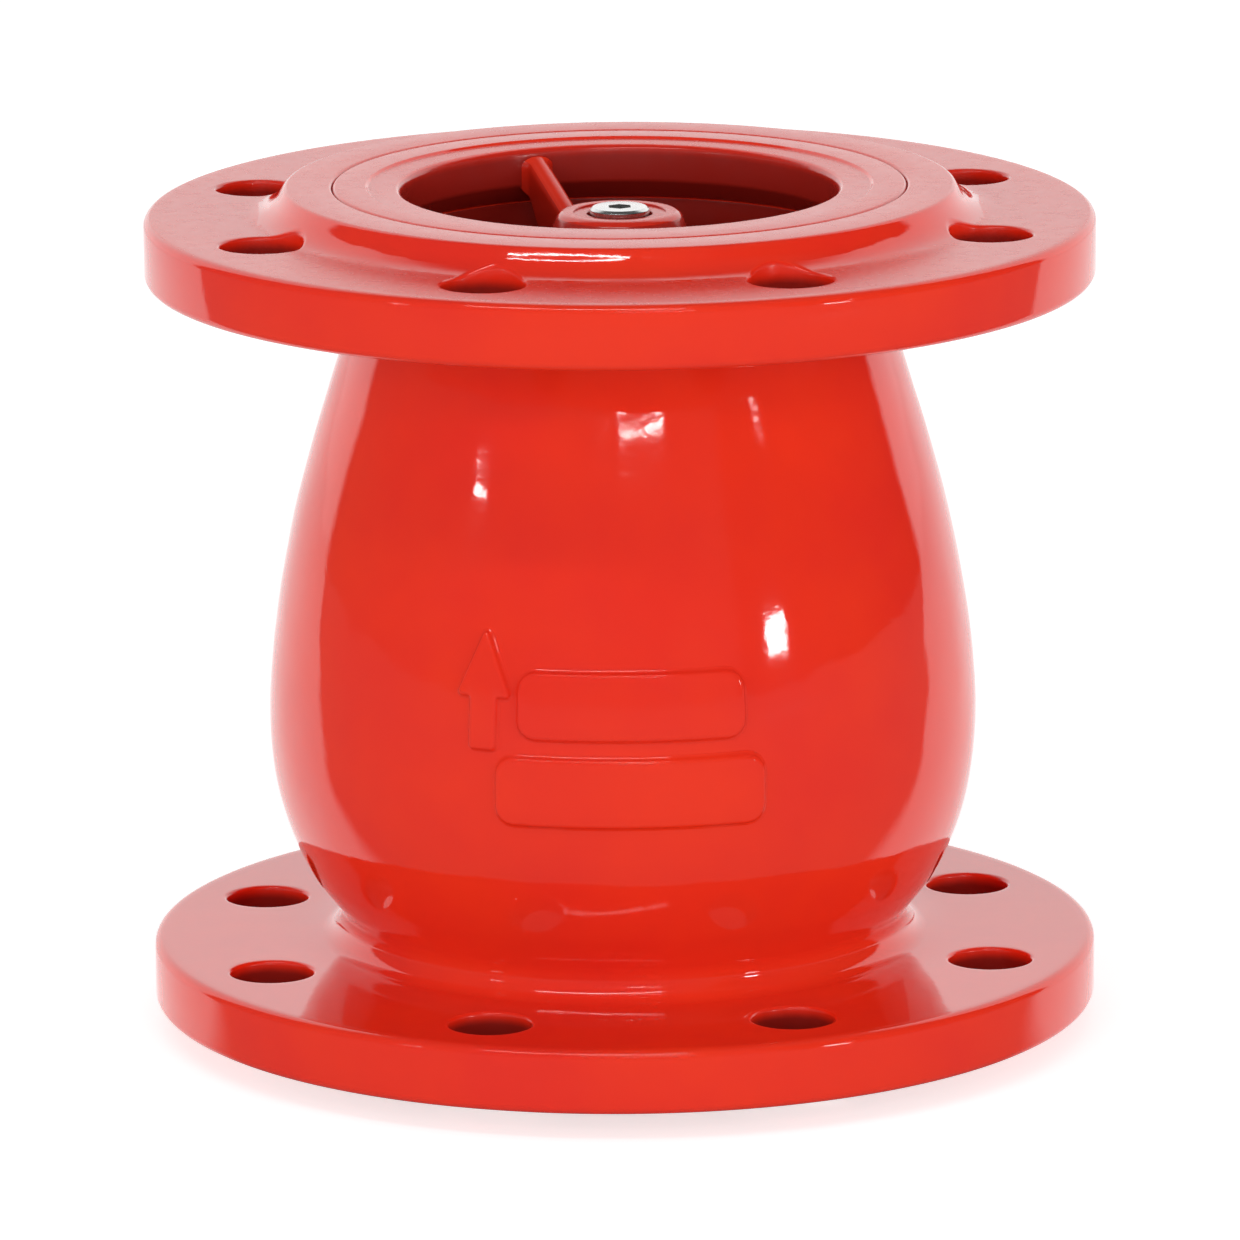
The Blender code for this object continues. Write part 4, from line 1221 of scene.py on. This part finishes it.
def make_camera():
    way = direction(0, CAMERA_ELEVATION)
    lens = bpy.data.cameras.new("camera")
    lens.lens = CAMERA_LENS
    lens.sensor_width = CAMERA_SENSOR
    lens.shift_x = CAMERA_SHIFT
    lens.clip_end = 100
    camera = bpy.data.objects.new("camera", lens)
    facing = way.to_track_quat("Z", "Y").to_matrix() @ Matrix.Rotation(CAMERA_ROLL, 3, "Z")
    camera.rotation_euler = facing.to_euler()
    camera.location = Vector((0, 0, CAMERA_TARGET_Z)) + way * CAMERA_DISTANCE
    bpy.context.collection.objects.link(camera)
    bpy.context.scene.camera = camera


# Pieces on their bodies
def make_housing(red, steel, spring_steel, bronze, rubber):
    red_face = make_face_epoxy()
    # Reds with painted shade for the cavity, the bolt holes and the arms' sides, dark deep inside.
    painted_shade_cavity = make_painted_shade_epoxy("red_epoxy_painted_shade_in_cavity", CAVITY_PAINTED_SHADE)
    painted_shade_holes = make_painted_shade_epoxy("red_epoxy_painted_shade_in_bolt_holes", LOWER_HOLE_PAINTED_SHADE + UPPER_HOLE_PAINTED_SHADE)
    painted_shade_arms = make_painted_shade_epoxy("red_epoxy_painted_shade_on_arm_sides", ARM_PAINTED_SHADE)
    screw_r, stud_r = ROD_SCREW_R + GAP, ROD_STUD_R + GAP
    seal_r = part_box("seat_o_ring")[1].x - SEAT_SEAL_WIDTH
    spring_r = SPRING_R - CUP_WASHER_REACH
    pieces = (
        (make_body(red, red_face, painted_shade_cavity, painted_shade_holes), "red_epoxy", "body"),
        (make_guide_spider(red, red_face, painted_shade_cavity, painted_shade_arms), "red_epoxy", "guide_spider"),
        (make_rod_screw(steel), "stainless_steel", "rod_screw"),
        (make_ring("hub_washer", "rod_lock_washer", screw_r, steel), "stainless_steel", "rod_lock_washer"),
        (make_rod(steel), "stainless_steel", "guide_rod"),
        (make_rod_nut(steel), "stainless_steel", "rod_end_nut"),
        (make_ring("end_washer", "rod_end_washer", stud_r, steel), "stainless_steel", "rod_end_washer"),
        (make_seat(bronze), "bronze", "seat_ring"),
        (make_ring("seat_seal", "seat_o_ring", seal_r, rubber), "rubber", "seat_o_ring"),
        (make_ring("cup_washer", "spring_washer", spring_r, steel), "stainless_steel", "spring_washer"),
    )
    for piece, slot, node in pieces:
        place(piece, "housing", slot, node)
    spring = place(make_spring(spring_steel), "housing", "spring_steel", "spring")
    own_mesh(spring)
    place(make_flow_arrow(red), "housing", "red_epoxy")
    for bar in BLANK_BARS:
        place(make_blank_bar(*bar, red), "housing", "red_epoxy")


def make_closing_disc(steel, bronze, polymer, rubber):
    pieces = (
        (make_disc(bronze), "bronze", "disc"),
        (make_ring("rod_bush", "disc_bush", ROD_R + GAP, polymer), "bearing_polymer", "disc_bush"),
        (make_ring("seal_ring", "disc_seal", SEAL_INNER_R, rubber), "rubber", "disc_seal"),
        (make_retainer(steel), "stainless_steel", "seal_retainer"),
    )
    for piece, slot, node in pieces:
        place(piece, "closing_disc", slot, node)
    for index, (x, y) in enumerate(screw_spots(), 1):
        screw = make_retainer_screw(index, x, y, steel)
        place(screw, "closing_disc", "stainless_steel", f"retainer_screw_{index}")


def main():
    red = make_red_epoxy()
    steel = make_turned_metal("stainless_steel", (0.55, 0.55, 0.54), (0.72, 0.72, 0.71), 0.24, 0.000004)
    bronze = make_turned_metal("bronze", (0.58, 0.36, 0.16), (0.74, 0.49, 0.24), 0.30, 0.000006)
    rubber = make_rubber()
    make_housing(red, steel, make_spring_steel(), bronze, rubber)
    make_closing_disc(steel, bronze, make_polymer(), rubber)
    make_floor()
    make_world()
    for panel in PANELS:
        make_softbox(*panel)
    make_camera()
    bpy.context.scene.view_settings.view_transform = "Standard"


main()
